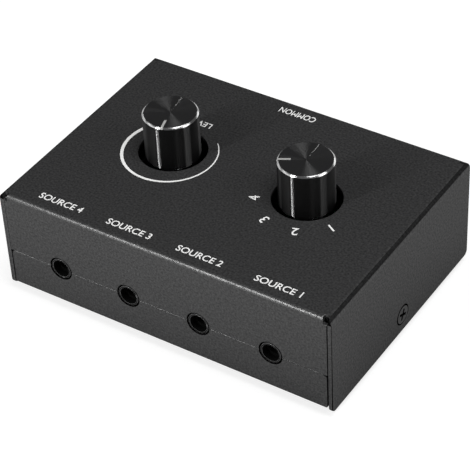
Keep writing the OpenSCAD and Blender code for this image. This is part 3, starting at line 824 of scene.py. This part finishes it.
@dataclass
class CaseShell:
    """The cover, the base under it, their screws and the feet.

    Attributes:
        sheet_edge: Rounding of the coated sheet's cut edges.
        screw_edge: Rounding of the screws' edges.
        foot_edge: Rounding of the feet's edges.
        relief_reach: Distance from an upper corner within which the cover's edges stay sharp.
        edge_bend: Radius of the bends along the front and the rear.
        side_bend: Width and height of the middle of the bends along the sides, which has painted
            shade.
        side_round: Radius of the bends along the sides.
        bead: Radius of the coat that fills a rear relief.
        bead_in: Distance of its middle inside the cover's three faces.
        bead_under: Depth of its surface under the cover's.
        bead_steps: Times that the faces of its ball are divided.
        end_seam: Distance from the middle past which the seam has a painted highlight on the left
        and painted shade that all but hides it on the right.
        sheet: Thickness of the sheet.
        gap_depth: Depth from the front to which the side's inner face beside the left gap has
            painted light.
        skin: Depth from which a face lies in a hole.
        socket_hole: Radius of the walls' holes for the sockets, and a little more.
        screw_gap: Width of the ring round a screw's head that has near-black painted shade.
        screw_skin: Depth from which a screw's recess has near-black painted shade.
        near: Distance within which a point counts as on an edge.
    """

    sheet_edge: EdgeBreak = EdgeBreak(0.2 * MM, 3)
    screw_edge: EdgeBreak = EdgeBreak(0.08 * MM, 2)
    foot_edge: EdgeBreak = EdgeBreak(0.35 * MM, 3)
    relief_reach: float = 2.6 * MM
    edge_bend: float = 1.0 * MM
    side_bend: Point = (1.1 * MM, 0.9 * MM)
    side_round: float = 1.8 * MM
    bead: float = 1.5 * MM
    bead_in: tuple[float, float, float] = (1.65 * MM, 0.7 * MM, 1.2 * MM)
    bead_under: float = 0.03 * MM
    bead_steps: int = 4
    end_seam: float = 30 * MM
    sheet: float = 1.2 * MM
    gap_depth: float = 0.8 * MM
    skin: float = 0.005 * MM
    socket_hole: float = 3.45 * MM
    screw_gap: float = 0.35 * MM
    screw_skin: float = 0.12 * MM
    near: float = 0.3 * MM

    def __post_init__(self) -> None:
        """Takes the cover's corners and the seam's height from the frame."""
        low, self.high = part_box("top_cover")
        self.corners = [Vector((x, y, self.high.z))
                        for x in (low.x, self.high.x) for y in (low.y, self.high.y)]
        self.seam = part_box("bottom_tray")[1].z
        self.sockets = [middle_of(node) for node in SOCKET_NODES]
        screw_low, screw_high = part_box("case_screws")
        self.screw_z = (screw_low.z + screw_high.z) / 2
        self.screw_radius = (screw_high.z - screw_low.z) / 2

    def build(self) -> None:
        """Builds the shell's pieces."""
        cover = self.sheet_edge.copy(
            "top_cover", "case_cover", [COAT, PAINTED_SHADE_COAT, HIGHLIGHT_COAT, SHADED_BEND_COAT, LIT_GAP_COAT],
            self.stays_sharp, self.coat_at, self.splits())
        dress(cover, Body.CASE, Slot.COAT, "top_cover")
        base = self.sheet_edge.copy(
            "bottom_tray", "case_base", [COAT, DIMMED_SEAM_COAT, DARKENED_SEAM_END_COAT, HIGHLIGHT_COAT, PAINTED_SHADE_COAT],
            pick=self.seam_coat_at)
        dress(base, Body.CASE, Slot.COAT, "bottom_tray")
        # Painted shade: the parts of a screw deeper than screw_skin are near black.
        screws = self.screw_edge.copy(
            "case_screws", "side_screws", [SCREW_BLACK, PAINTED_SHADE_COAT],
            pick=lambda point: int(self.high.x - abs(point.x) > self.screw_skin))
        dress(screws, Body.CASE, Slot.SCREW, "case_screws")
        feet = self.foot_edge.copy("rubber_feet", "stick_on_feet", [RUBBER])
        dress(feet, Body.CASE, Slot.RUBBER, "rubber_feet")
        self._fill_reliefs()

    def _fill_reliefs(self) -> None:
        """Fills the two rear reliefs with coat that bridges them, coloured dark as painted shade.
        """
        edit = bmesh.new()
        across, along, down = self.bead_in
        for corner in self.corners:
            if corner.y < 0:
                continue
            inward = Vector((math.copysign(across, corner.x), along, down))
            ball = bmesh.ops.create_icosphere(edit, subdivisions=self.bead_steps, radius=self.bead)
            for vert in ball["verts"]:
                vert.co = self.held_in(corner - inward + vert.co)
        # Painted shade: the beads take the darker coat of the side bends.
        beads = add_object("coat_in_rear_reliefs", edit, [SHADED_BEND_COAT])
        smooth(beads)
        dress(beads, Body.CASE, Slot.COAT)

    def splits(self) -> list[Plane]:
        """Gives the planes under the side bends and behind the front edges of the sides."""
        return [(Vector((0.0, 0.0, self.high.z - self.side_round)), Vector((0.0, 0.0, 1.0))),
                (Vector((0.0, self.gap_depth - self.high.y, 0.0)), Vector((0.0, 1.0, 0.0)))]

    def held_in(self, point: Vector) -> Vector:
        """Moves a point to just under the cover's outer surface, if it lies outside.

        Args:
            point: The point.

        Returns:
            The point, or the one under the surface.
        """
        x = min(abs(point.x), self.high.x - self.bead_under)
        y = min(abs(point.y), self.high.y - self.bead_under)
        bends = ((x, self.high.x, self.side_round), (y, self.high.y, self.edge_bend))
        drops = [radius - math.sqrt(radius ** 2 - max(0.0, value - limit + radius) ** 2)
                 for value, limit, radius in bends]
        z = min(point.z, self.high.z - max(drops) - self.bead_under)
        return Vector((math.copysign(x, point.x), math.copysign(y, point.y), z))

    def seam_coat_at(self, point: Vector) -> BaseCoat:
        """Picks the coat at a point of the base.

        Args:
            point: The point.

        Returns:
            The coat there.
        """
        # Painted shade: near black in the socket holes.
        if self.in_socket_hole(point):
            return BaseCoat.CUT
        if self.seam - point.z >= self.near:
            return BaseCoat.PLAIN
        # The seam has a little painted shade in the middle, a painted highlight at its left end
        # and more painted shade at its right end.
        if abs(point.x) < self.end_seam:
            return BaseCoat.SEAM
        return BaseCoat.RIGHT_END if point.x > 0 else BaseCoat.LEFT_END

    def stays_sharp(self, point: Vector) -> bool:
        """Says whether a point of the cover is at an upper corner or on the seam with the base."""
        return abs(point.z - self.seam) < self.near or self.at_corner(point)

    def at_corner(self, point: Vector) -> bool:
        """Says whether a point is at one of the cover's upper corners."""
        return any((point - corner).length < self.relief_reach for corner in self.corners)

    def in_screw_hole(self, point: Vector, depth: float) -> bool:
        """Says whether a point at a depth under a side is on the edge of a screw's hole."""
        aside = math.hypot(point.y, point.z - self.screw_z)
        return self.skin < depth < self.sheet and aside < self.screw_radius + self.screw_gap

    def in_socket_hole(self, point: Vector) -> bool:
        """Says whether a point is on the edge of a socket's hole in the front or the rear wall.

        Args:
            point: The point.

        Returns:
            Whether it lies in the wall's thickness and near a socket of that wall.
        """
        if not self.skin < self.high.y - abs(point.y) < self.sheet:
            return False
        return any(math.hypot(point.x - middle.x, point.z - self.seam) < self.socket_hole
                   for middle in self.sockets if middle.y * point.y > 0)

    def coat_at(self, point: Vector) -> CoverCoat:
        """Picks the coat at a point of the cover.

        Args:
            point: The point.

        Returns:
            The coat there.
        """
        across, along = self.high.x - abs(point.x), self.high.y - abs(point.y)
        down = self.high.z - point.z
        # Painted shade: the sides' front edges and the front corners are near black.
        if along < self.near and (across < self.near or max(across, down) < self.side_round):
            return CoverCoat.CUT
        # Painted shade: near black round the screws' heads and in the socket holes.
        if self.in_screw_hole(point, across) or self.in_socket_hole(point):
            return CoverCoat.CUT
        # Painted highlight: the front and rear bends have the glossier copy of the coat.
        if down < self.edge_bend and along < self.edge_bend and not self.at_corner(point):
            return CoverCoat.SHARP_BEND
        # Painted shade: the side bends have the darker coat.
        if across < self.side_bend[0] and down < self.side_bend[1]:
            return CoverCoat.SIDE_BEND
        # Painted light on the left side's inner face beside the gap.
        inside_left = abs(across - self.sheet) < self.near and point.x < 0
        if inside_left and along < self.gap_depth and down > self.side_round:
            return CoverCoat.GAP
        return CoverCoat.PLAIN


@dataclass
class Sockets:
    """The socket housings, whose noses show in the walls.

    Attributes:
        nodes: The frame's nodes.
        edge: Rounding of the mouldings' edges.
        mouth: Radius within which a socket's bore has near-black painted shade.
    """

    nodes: tuple[str, ...] = SOCKET_NODES
    edge: EdgeBreak = EdgeBreak(0.12 * MM, 3)
    mouth: float = 2.52 * MM

    def build(self) -> None:
        """Builds one piece for each socket."""
        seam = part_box("bottom_tray")[1].z
        for node in self.nodes:
            axis = Vector((middle_of(node).x, 0.0, seam))
            # Painted shade: the bore inside the mouth is near black.
            socket = self.edge.copy(
                node, node.replace("jack", "socket"), [SOCKET_BLACK, SHADED_SOCKET_MOUTH],
                pick=lambda point: int(self.in_mouth(point, axis)))
            dress(socket, Body.CASE, Slot.SOCKET, node)

    def in_mouth(self, point: Vector, axis: Vector) -> bool:
        """Says whether a point lies in the bore round an axis from front to rear."""
        return math.hypot(point.x - axis.x, point.z - axis.z) < self.mouth


@dataclass
class Knob:
    """A turned knob with a spun top, a bright cut edge and a painted pointer.

    Attributes:
        name: Name of the control, as the frame's nodes begin.
        body: The body that turns.
        pointer_deg: Direction of the pointer from +X.
        edge: Width of the bright cut edge.
        edge_bow_deg: Turn of the cut edge's slightly round profile.
        edge_steps: Faces across it.
        foot: Width of the chamfer at the lower end.
        hollow: Radius of the bore for the moulded insert.
        roof: Thickness of the metal over the bore.
        pointer_width: Width of the pointer line.
        pointer_length: Length of the pointer line.
        pointer_depth: Depth of the pointer line.
        pointer_proud: Height of the paint over the metal.
        turns: Faces round the knob.
        sharp_deg: Least angle between two faces that still shows as an edge.
    """

    name: str
    body: Body
    pointer_deg: float
    edge: float = 0.44 * MM
    edge_bow_deg: float = 12.0
    edge_steps: int = 6
    foot: float = 0.4 * MM
    hollow: float = 5.55 * MM
    roof: float = 2.2 * MM
    pointer_width: float = 0.65 * MM
    pointer_length: float = 3.6 * MM
    pointer_depth: float = 0.4 * MM
    pointer_proud: float = 0.02 * MM
    turns: int = 192
    sharp_deg: float = 30.0

    def __post_init__(self) -> None:
        """Takes the knob's size and place from the frame."""
        low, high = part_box(f"{self.name}_knob")
        self.radius = (high.x - low.x) / 2
        self.height = high.z - low.z
        middle = middle_of(f"{self.name}_knob")
        self.place = Vector((middle.x, middle.y, low.z))

    def build(self) -> None:
        """Builds the knob and its pointer."""
        self._turn()
        self._mark()

    def profile(self) -> list[tuple[Point, KnobFace]]:
        """Gives the knob's outline from the bore's roof round to the top's middle.

        Returns:
            Points as radius and height, each with the finish of the face that leads to it.
        """
        r, h = self.radius, self.height
        bore = h - self.roof
        return [
            ((0.0, bore), KnobFace.SIDE),
            ((self.hollow, bore), KnobFace.SIDE),
            ((self.hollow, 0.0), KnobFace.SIDE),
            ((r - self.foot, 0.0), KnobFace.SIDE),
            ((r, self.foot), KnobFace.EDGE),
            ((r, h - self.edge), KnobFace.SIDE),
            *((point, KnobFace.EDGE) for point in self.cut_edge()),
            ((0.0, h), KnobFace.TOP),
        ]

    def cut_edge(self) -> Iterable[Point]:
        """Gives the cut edge's points from the side to the top.

        Yields:
            Points as radius and height, on an arc through the two ends of a 45 degree chamfer.
        """
        chamfer = math.radians(45.0)
        bow = math.radians(self.edge_bow_deg / 2)
        arc = self.edge / math.sqrt(2) / math.sin(bow)
        inset = self.edge / 2 + arc * math.cos(bow) * math.cos(chamfer)
        for step in range(1, self.edge_steps + 1):
            turn = chamfer - bow + 2 * bow * step / self.edge_steps
            yield (self.radius - inset + arc * math.cos(turn),
                   self.height - inset + arc * math.sin(turn))

    def _turn(self) -> None:
        """Turns the outline into the knob."""
        edit = bmesh.new()
        rings: list[list[bmesh.types.BMVert]] = []
        outline = self.profile()
        for (r, z), _ in outline:
            count = self.turns if r > 0 else 1
            angles = [math.tau * i / count for i in range(count)]
            rings.append([edit.verts.new((r * math.cos(a), r * math.sin(a), z)) for a in angles])
        for (lower, upper), (_, finish) in zip(zip(rings, rings[1:]), outline[1:]):
            for i in range(self.turns):
                around = ((lower, i), (lower, i + 1), (upper, i + 1), (upper, i))
                loop = dict.fromkeys(ring[k % len(ring)] for ring, k in around)
                edit.faces.new(list(loop)).material_index = finish
        bmesh.ops.recalc_face_normals(edit, faces=edit.faces[:])
        knob = add_object(f"{self.name}_knob_turned", edit, [KNOB_SIDE, KNOB_TOP, KNOB_EDGE])
        knob.location = self.place
        smooth(knob, self.sharp_deg)
        dress(knob, self.body, Slot.KNOB, f"{self.name}_knob")

    def _mark(self) -> None:
        """Fills the pointer line, which follows the top and the cut edge."""
        r, h = self.radius + self.pointer_proud, self.height + self.pointer_proud
        start, low = self.radius - self.pointer_length, self.height - self.pointer_depth
        shape = [(start, low), (self.radius - self.pointer_depth, low),
                 (r, h - self.edge - self.pointer_proud), (r - self.edge, h), (start, h)]
        edit = bmesh.new()
        half = self.pointer_width / 2
        face = edit.faces.new([edit.verts.new((x, -half, z)) for x, z in shape])
        grown = bmesh.ops.extrude_face_region(edit, geom=[face])["geom"]
        far_side = [v for v in grown if isinstance(v, bmesh.types.BMVert)]
        bmesh.ops.translate(edit, verts=far_side, vec=(0.0, self.pointer_width, 0.0))
        bmesh.ops.recalc_face_normals(edit, faces=edit.faces[:])
        mark = add_object(f"{self.name}_mark", edit, [POINTER_WHITE])
        turn = Matrix.Rotation(math.radians(self.pointer_deg), 4, "Z")
        mark.matrix_world = Matrix.Translation(self.place) @ turn
        dress(mark, self.body, Slot.PAINT, f"{self.name}_pointer")


@dataclass(frozen=True)
class Word:
    """One printed word or number.

    Attributes:
        text: What it says.
        at: Place of its middle on the top, in metres.
        cap: Height of its capitals.
        turn_deg: Direction in which it reads, from +X.
        width: Width of the whole word, or 0 for the letters' own width.
    """

    text: str
    at: Point
    cap: float
    turn_deg: float = 0.0
    width: float = 0.0


@dataclass
class TopPrint:
    """The white print on the cover: socket names, the dial's numbers and the level's arc.

    Attributes:
        thickness: Thickness of the ink.
        sink: Depth to which the ink reaches into the coat.
        weight: Share by which the strokes are thickened.
        curve_steps: Steps along each curve of a letter.
        weld: Distance within which two corners of a letter are one, as a share of its size.
        name_y: Place of the front words from front to rear.
        name_shift: Distance of each front word to the right of its socket.
        cap: Height of the capitals.
        name_width: Width of a front word.
        common_y: Place of the rear word from front to rear.
        common_width: Width of the rear word.
        level_at: Place of the word beside the level knob.
        level_cap: Height of that word's capitals.
        turned_deg: Direction in which the rear word and the level's read, from +X.
        dial_cap: Height of the dial's numbers.
        dial_radius: Radius of the circle of the dial's numbers.
        dial_shift: Distance of that circle's middle from the knob's axis.
        dial_start_deg: Direction of the first number.
        dial_step_deg: Turn between the numbers.
        arc_shift: Distance of the arc's middle from the knob's axis.
        arc_radius: Inner radius of the level's arc.
        arc_thin: Width of the arc at silence.
        arc_thick: Width of the arc at full level.
        arc_start_deg: Direction of the arc's thin end.
        arc_sweep_deg: Turn of the arc, clockwise.
        arc_steps: Faces along the arc.
    """

    thickness: float = 0.03 * MM
    sink: float = 0.01 * MM
    weight: float = 0.008
    curve_steps: int = 6
    weld: float = 1e-5
    name_y: float = -30.9 * MM
    name_shift: tuple[float, ...] = (0.25 * MM, -1.3 * MM, -1.15 * MM, -0.95 * MM)
    cap: float = 2.2 * MM
    name_width: float = 13.4 * MM
    common_y: float = 31.35 * MM
    common_width: float = 11 * MM
    level_at: Point = (-21.0 * MM, 15.4 * MM)
    level_cap: float = 2.0 * MM
    turned_deg: float = 180.0
    dial_cap: float = 2.8 * MM
    dial_radius: float = 13.5 * MM
    dial_shift: Point = (0.1 * MM, -0.4 * MM)
    dial_start_deg: float = -31.7
    dial_step_deg: float = -40.0
    arc_shift: Point = (-0.06 * MM, -1.05 * MM)
    arc_radius: float = 12.6 * MM
    arc_thin: float = 0.22 * MM
    arc_thick: float = 1.1 * MM
    arc_start_deg: float = 45.0
    arc_sweep_deg: float = -270.0
    arc_steps: int = 160

    def build(self) -> None:
        """Prints the words, the numbers and the arc."""
        self.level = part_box("top_cover")[1].z
        for word in self.words():
            self._print(word)
        self._arc()

    def words(self) -> Iterable[Word]:
        """Gives every word and number.

        Yields:
            The words over the sockets, at the rear and beside the level knob, then the dial's
            numbers.
        """
        for number, shift in enumerate(self.name_shift, 1):
            place = (middle_of(f"jack_{number}").x + shift, self.name_y)
            yield Word(f"SOURCE {number}", place, self.cap, width=self.name_width)
        yield Word("COMMON", (0.0, self.common_y), self.cap, self.turned_deg, self.common_width)
        yield Word("LEVEL", self.level_at, self.level_cap, self.turned_deg)
        axis = middle_of("selector_knob").xy + Vector(self.dial_shift)
        for step in range(len(self.name_shift)):
            out_deg = self.dial_start_deg + step * self.dial_step_deg
            place = axis + self.dial_radius * direction(out_deg)
            yield Word(str(step + 1), (place.x, place.y), self.dial_cap, out_deg - 90.0)

    def _print(self, word: Word) -> None:
        """Prints one word as a thin raised mesh.

        Args:
            word: The word.
        """
        curve = bpy.data.curves.new(word.text, "FONT")
        curve.body = word.text
        curve.resolution_u = self.curve_steps
        # Half a thickness of 1, which the size below brings down to the ink's.
        curve.extrude = 0.5
        curve.offset = self.weight
        draft = bpy.data.objects.new("draft", curve)
        bpy.context.scene.collection.objects.link(draft)
        bpy.context.view_layer.update()
        letters = draft.evaluated_get(bpy.context.evaluated_depsgraph_get())
        mesh = bpy.data.meshes.new_from_object(letters)
        bpy.data.objects.remove(draft)
        edit = bmesh.new()
        edit.from_mesh(mesh)
        bpy.data.meshes.remove(mesh)
        bmesh.ops.remove_doubles(edit, verts=edit.verts[:], dist=self.weld)
        xs, ys = [v.co.x for v in edit.verts], [v.co.y for v in edit.verts]
        tall = word.cap / (max(ys) - min(ys))
        wide = word.width / (max(xs) - min(xs)) if word.width else tall
        middle = Vector(((max(xs) + min(xs)) / 2, (max(ys) + min(ys)) / 2, 0.0))
        size = Matrix.Diagonal((wide, tall, self.thickness + self.sink, 1.0))
        turn = Matrix.Rotation(math.radians(word.turn_deg), 4, "Z")
        place = Matrix.Translation((*word.at, self.level + (self.thickness - self.sink) / 2))
        fit = place @ turn @ size @ Matrix.Translation(-middle)
        bmesh.ops.transform(edit, matrix=fit, verts=edit.verts[:])
        name = "print_" + word.text.lower().replace(" ", "_")
        dress(add_object(name, edit, [PRINT_WHITE]), Body.CASE, Slot.PAINT)

    def _arc(self) -> None:
        """Prints the arc round the level knob, which widens towards full level."""
        axis = middle_of("volume_knob").xy + Vector(self.arc_shift)
        edit = bmesh.new()
        rings = []
        inner, under, over = self.arc_radius, self.level - self.sink, self.level + self.thickness
        for i in range(self.arc_steps + 1):
            share = i / self.arc_steps
            out = direction(self.arc_start_deg + share * self.arc_sweep_deg)
            outer = inner + self.arc_thin + share * (self.arc_thick - self.arc_thin)
            section = ((inner, under), (outer, under), (outer, over), (inner, over))
            rings.append([edit.verts.new((*(axis + r * out), z)) for r, z in section])
        for here, there in zip(rings, rings[1:]):
            for k, corner in enumerate(here):
                edit.faces.new((here[k - 1], corner, there[k], there[k - 1]))
        edit.faces.new(rings[0])
        edit.faces.new(rings[-1])
        bmesh.ops.recalc_face_normals(edit, faces=edit.faces[:])
        dress(add_object("print_level_arc", edit, [PRINT_WHITE]), Body.CASE, Slot.PAINT)


@dataclass
class Inside:
    """The pieces that keep their solids: the board, the contacts and the two controls' works."""

    def build(self) -> None:
        """Gives each solid that still shows the finish of its slot."""
        for part in frame["record"]["subparts"]:
            finish = INNER_FINISHES.get(part["material_slot"])
            if finish is None:
                continue
            mesh = frame["nodes"][part["node"]].data
            mesh.materials.clear()
            mesh.materials.append(Materials.of(finish))
            log.info("%s has the finish %s", part["node"], finish.name)


@dataclass(frozen=True)
class Lamp:
    """A soft studio lamp that looks at the object.

    Attributes:
        name: Name of the lamp.
        azimuth_deg: Direction from the object, from +X.
        elevation_deg: Height over the horizon.
        distance: Distance from the object.
        size: Width and height of the lamp.
        power: Power in watts.
    """

    name: str
    azimuth_deg: float
    elevation_deg: float
    distance: float
    size: Point
    power: float

    def build(self, aim: Vector) -> None:
        """Hangs the lamp.

        Args:
            aim: The point that it looks at.
        """
        a, e = math.radians(self.azimuth_deg), math.radians(self.elevation_deg)
        out = Vector((math.cos(a) * math.cos(e), math.sin(a) * math.cos(e), math.sin(e)))
        data = bpy.data.lights.new(self.name, "AREA")
        data.shape = "RECTANGLE"
        data.size, data.size_y = self.size
        data.energy = self.power
        lamp = bpy.data.objects.new(self.name, data)
        lamp.location = aim + self.distance * out
        lamp.rotation_euler = out.to_track_quat("Z", "Y").to_euler()
        bpy.context.scene.collection.objects.link(lamp)


@dataclass
class Studio:
    """The pale floor, the lamps and the camera at the photograph's angle.

    Attributes:
        image_px: Width and height of the picture.
        focal_px: Distance of the picture behind the lens, in its pixels.
        azimuth_deg: Direction of the camera, from the front towards the right.
        elevation_deg: Height of the camera over the horizon.
        roll_deg: Turn of the camera about its line of sight.
        camera_at: Place of the camera in metres.
        floor_size: Width of the floor.
        floor_drop: Depth of the floor under the feet.
        floor_colour: Colour of the floor.
        floor_roughness: Roughness of the floor.
        floor_gloss: Share of a plastic's usual reflection on the floor.
        floor_cloud: Clouds of the floor's colour to the metre.
        floor_shades: Shares of the colour's light between which the clouds change it.
        floor_glow: Light that the floor adds where it is seen.
        shade_middle: Middle of the floor's part under the case, which stays dark.
        seen_half: Half the width and depth of that part where it is seen.
        shade_half: Half the width and depth of that part for a mirror.
        shade_reach: Distances to its sides and ends at which a mirror sees the whole glow.
        shade_skew: Shares by which that part leans for a mirror, from front to rear and from left
            to right.
        shade_bow: Bend of that part's sides and ends for a mirror, in one over metres.
        shade_power: Power of the distance with which a mirror's glow rises.
        sky: Light of the room.
        lamps: The lamps.
        aim_z: Height of the point that the lamps look at.
        sensor: Width of the camera's sensor in millimetres.
        clip_start: Least distance that the camera sees.
    """

    image_px: int = 470
    focal_px: float = 2025.2
    azimuth_deg: float = 34.773
    elevation_deg: float = 39.551
    roll_deg: float = -3.257
    camera_at: tuple[float, float, float] = (0.23592, -0.34122, 0.356)
    floor_size: float = 6.0
    floor_drop: float = 0.02 * MM
    floor_colour: Colour = (0.36, 0.36, 0.36)
    floor_roughness: float = 0.9
    floor_gloss: float = 0.1
    floor_cloud: float = 40.0
    floor_shades: Range = (0.99, 1.01)
    floor_glow: float = 0.75
    shade_middle: Point = (-0.6 * MM, 1.1 * MM)
    seen_half: Point = (49.35 * MM, 32.8 * MM)
    shade_half: Point = (48.05 * MM, 34.3 * MM)
    shade_reach: Point = (22 * MM, 42 * MM)
    shade_skew: Point = (0.029, 0.1)
    shade_bow: Point = (3.5, 0.0)
    shade_power: float = 0.6
    sky: float = 0.05
    lamps: tuple[Lamp, ...] = field(default_factory=lambda: (
        Lamp("box_above", azimuth_deg=-10.0, elevation_deg=73.0, distance=1.3,
             size=(0.7, 0.8), power=10.7),
        Lamp("box_right", azimuth_deg=10.0, elevation_deg=39.0, distance=1.3,
             size=(0.5, 0.33), power=2.75),
        Lamp("strip_left", azimuth_deg=-113.8, elevation_deg=28.0, distance=1.2,
             size=(0.045, 0.87), power=7.6),
        Lamp("panel_left", azimuth_deg=-142.0, elevation_deg=31.0, distance=1.3,
             size=(0.8, 0.32), power=1.25),
        Lamp("panel_behind", azimuth_deg=74.0, elevation_deg=7.5, distance=1.3,
             size=(0.6, 0.34), power=1.4),
        Lamp("panel_far_left", azimuth_deg=180.0, elevation_deg=13.0, distance=1.3,
             size=(0.85, 0.4), power=1.1),
    ))
    aim_z: float = 20 * MM
    sensor: float = 36.0
    clip_start: float = 0.01

    def build(self) -> None:
        """Builds the floor, the lamps, the room's light and the camera."""
        self._floor()
        for lamp in self.lamps:
            lamp.build(Vector((0.0, 0.0, self.aim_z)))
        self._sky()
        self._camera()
        bpy.context.scene.view_settings.view_transform = "Standard"

    def _floor(self) -> None:
        """Lays the floor, which keeps the object's shadow and shows as white."""
        edit = bmesh.new()
        bmesh.ops.create_grid(edit, x_segments=1, y_segments=1, size=self.floor_size / 2)
        shader = Shader("pale_floor")
        shader.set(roughness=self.floor_roughness, specular_ior_level=self.floor_gloss,
                   emission_color=(1.0, 1.0, 1.0, 1.0))
        dark, light = (shade(self.floor_colour, share) for share in self.floor_shades)
        shader.tinted(shader.noise(self.floor_cloud), dark, light)
        shader.link(self._glow(shader), shader.surface.inputs["Emission Strength"])
        mesh = bpy.data.meshes.new("floor")
        edit.to_mesh(mesh)
        edit.free()
        mesh.materials.append(shader.material)
        floor = bpy.data.objects.new("floor", mesh)
        floor.location.z = -self.floor_drop
        bpy.context.scene.collection.objects.link(floor)

    def _glow(self, shader: Shader) -> NodeSocket:
        """Works out the floor's glow, which fades in mirrors near the case as painted shade.

        Args:
            shader: The floor's shader.

        Returns:
            Strength of the glow, which is 0 under the case and for light that the floor scatters.
        """
        path = shader.node("LightPath").outputs
        bare = shader.maths("GREATER_THAN", self._away(shader, self.seen_half), 0.0)
        seen = shader.maths("MULTIPLY", path["Is Camera Ray"], bare)
        mirror = shader.maths("MAXIMUM", path["Is Glossy Ray"], path["Is Transmission Ray"])
        # Painted shade: mirrors see the glow fade near the case, within an outline that leans and
        # bends.
        away = self._away(shader, self.shade_half, self.shade_skew, self.shade_bow)
        fade = shader.maths("POWER", shader.ranged(away, 0.0, 1.0), self.shade_power)
        both = shader.maths("MAXIMUM", seen, shader.maths("MULTIPLY", mirror, fade))
        return shader.maths("MULTIPLY", both, self.floor_glow)

    def _away(self, shader: Shader, halves: Point, skew: Point = (0.0, 0.0),
              bow: Point = (0.0, 0.0)) -> NodeSocket:
        """Works out how far a point of the floor lies outside the case.

        Args:
            shader: The floor's shader.
            halves: Half the width and depth of the case's outline.
            skew: Shares by which the case's outline leans.
            bow: Bend of its sides and ends.

        Returns:
            Distance from the case, of which 1 is the reach and less than 0 is under the case.
        """
        parts = shader.split().outputs
        past = []
        for axis, other, lean, bend, middle, half, reach in zip(
                "XY", "YX", skew, bow, self.shade_middle, halves, self.shade_reach):
            slope = shader.maths("MULTIPLY_ADD", parts[other], bend, lean)
            place = shader.maths("MULTIPLY_ADD", parts[other], slope, parts[axis])
            off = shader.maths("ABSOLUTE", shader.maths("SUBTRACT", place, middle))
            past.append(shader.maths("DIVIDE", shader.maths("SUBTRACT", off, half), reach))
        return shader.maths("MAXIMUM", *past)

    def _sky(self) -> None:
        """Lights the room evenly."""
        world = bpy.data.worlds.new("room")
        world.use_nodes = True
        back = world.node_tree.nodes["Background"]
        back.inputs["Color"].default_value = (1.0, 1.0, 1.0, 1.0)
        back.inputs["Strength"].default_value = self.sky
        bpy.context.scene.world = world

    def _camera(self) -> None:
        """Stands the camera where the photograph was taken."""
        a, e, r = (math.radians(d) for d in (self.azimuth_deg, self.elevation_deg, self.roll_deg))
        back = Vector((math.sin(a) * math.cos(e), -math.cos(a) * math.cos(e), math.sin(e)))
        right = Vector((0.0, 0.0, 1.0)).cross(back).normalized()
        up = back.cross(right)
        across = math.cos(r) * right + math.sin(r) * up
        upward = -math.sin(r) * right + math.cos(r) * up
        data = bpy.data.cameras.new("photo_camera")
        data.sensor_width = self.sensor
        data.lens = data.sensor_width * self.focal_px / self.image_px
        data.clip_start = self.clip_start
        camera = bpy.data.objects.new("photo_camera", data)
        axes = Matrix((across, upward, back)).transposed()
        camera.matrix_world = Matrix.Translation(self.camera_at) @ axes.to_4x4()
        bpy.context.scene.collection.objects.link(camera)
        bpy.context.scene.camera = camera


def pointer_direction(control: str) -> float:
    """Works out where a control's pointer stands at rest.

    Args:
        control: Name of the control, as the frame's nodes begin.

    Returns:
        Direction from the knob's axis to its pointer, in degrees from +X.
    """
    corners = [v.co for v in frame["nodes"][f"{control}_pointer"].data.vertices]
    out = sum(corners, Vector()) / len(corners) - middle_of(f"{control}_knob")
    return math.degrees(math.atan2(out.y, out.x))


def main() -> None:
    """Builds the object and its studio."""
    logging.basicConfig(level=logging.INFO, format="%(name)s: %(message)s")
    for assembly in (
        CaseShell(),
        Sockets(),
        Knob("volume", Body.VOLUME, pointer_direction("volume")),
        Knob("selector", Body.SELECTOR, pointer_direction("selector")),
        TopPrint(),
        Inside(),
        Studio(),
    ):
        assembly.build()


if __name__ == "__main__":
    main()
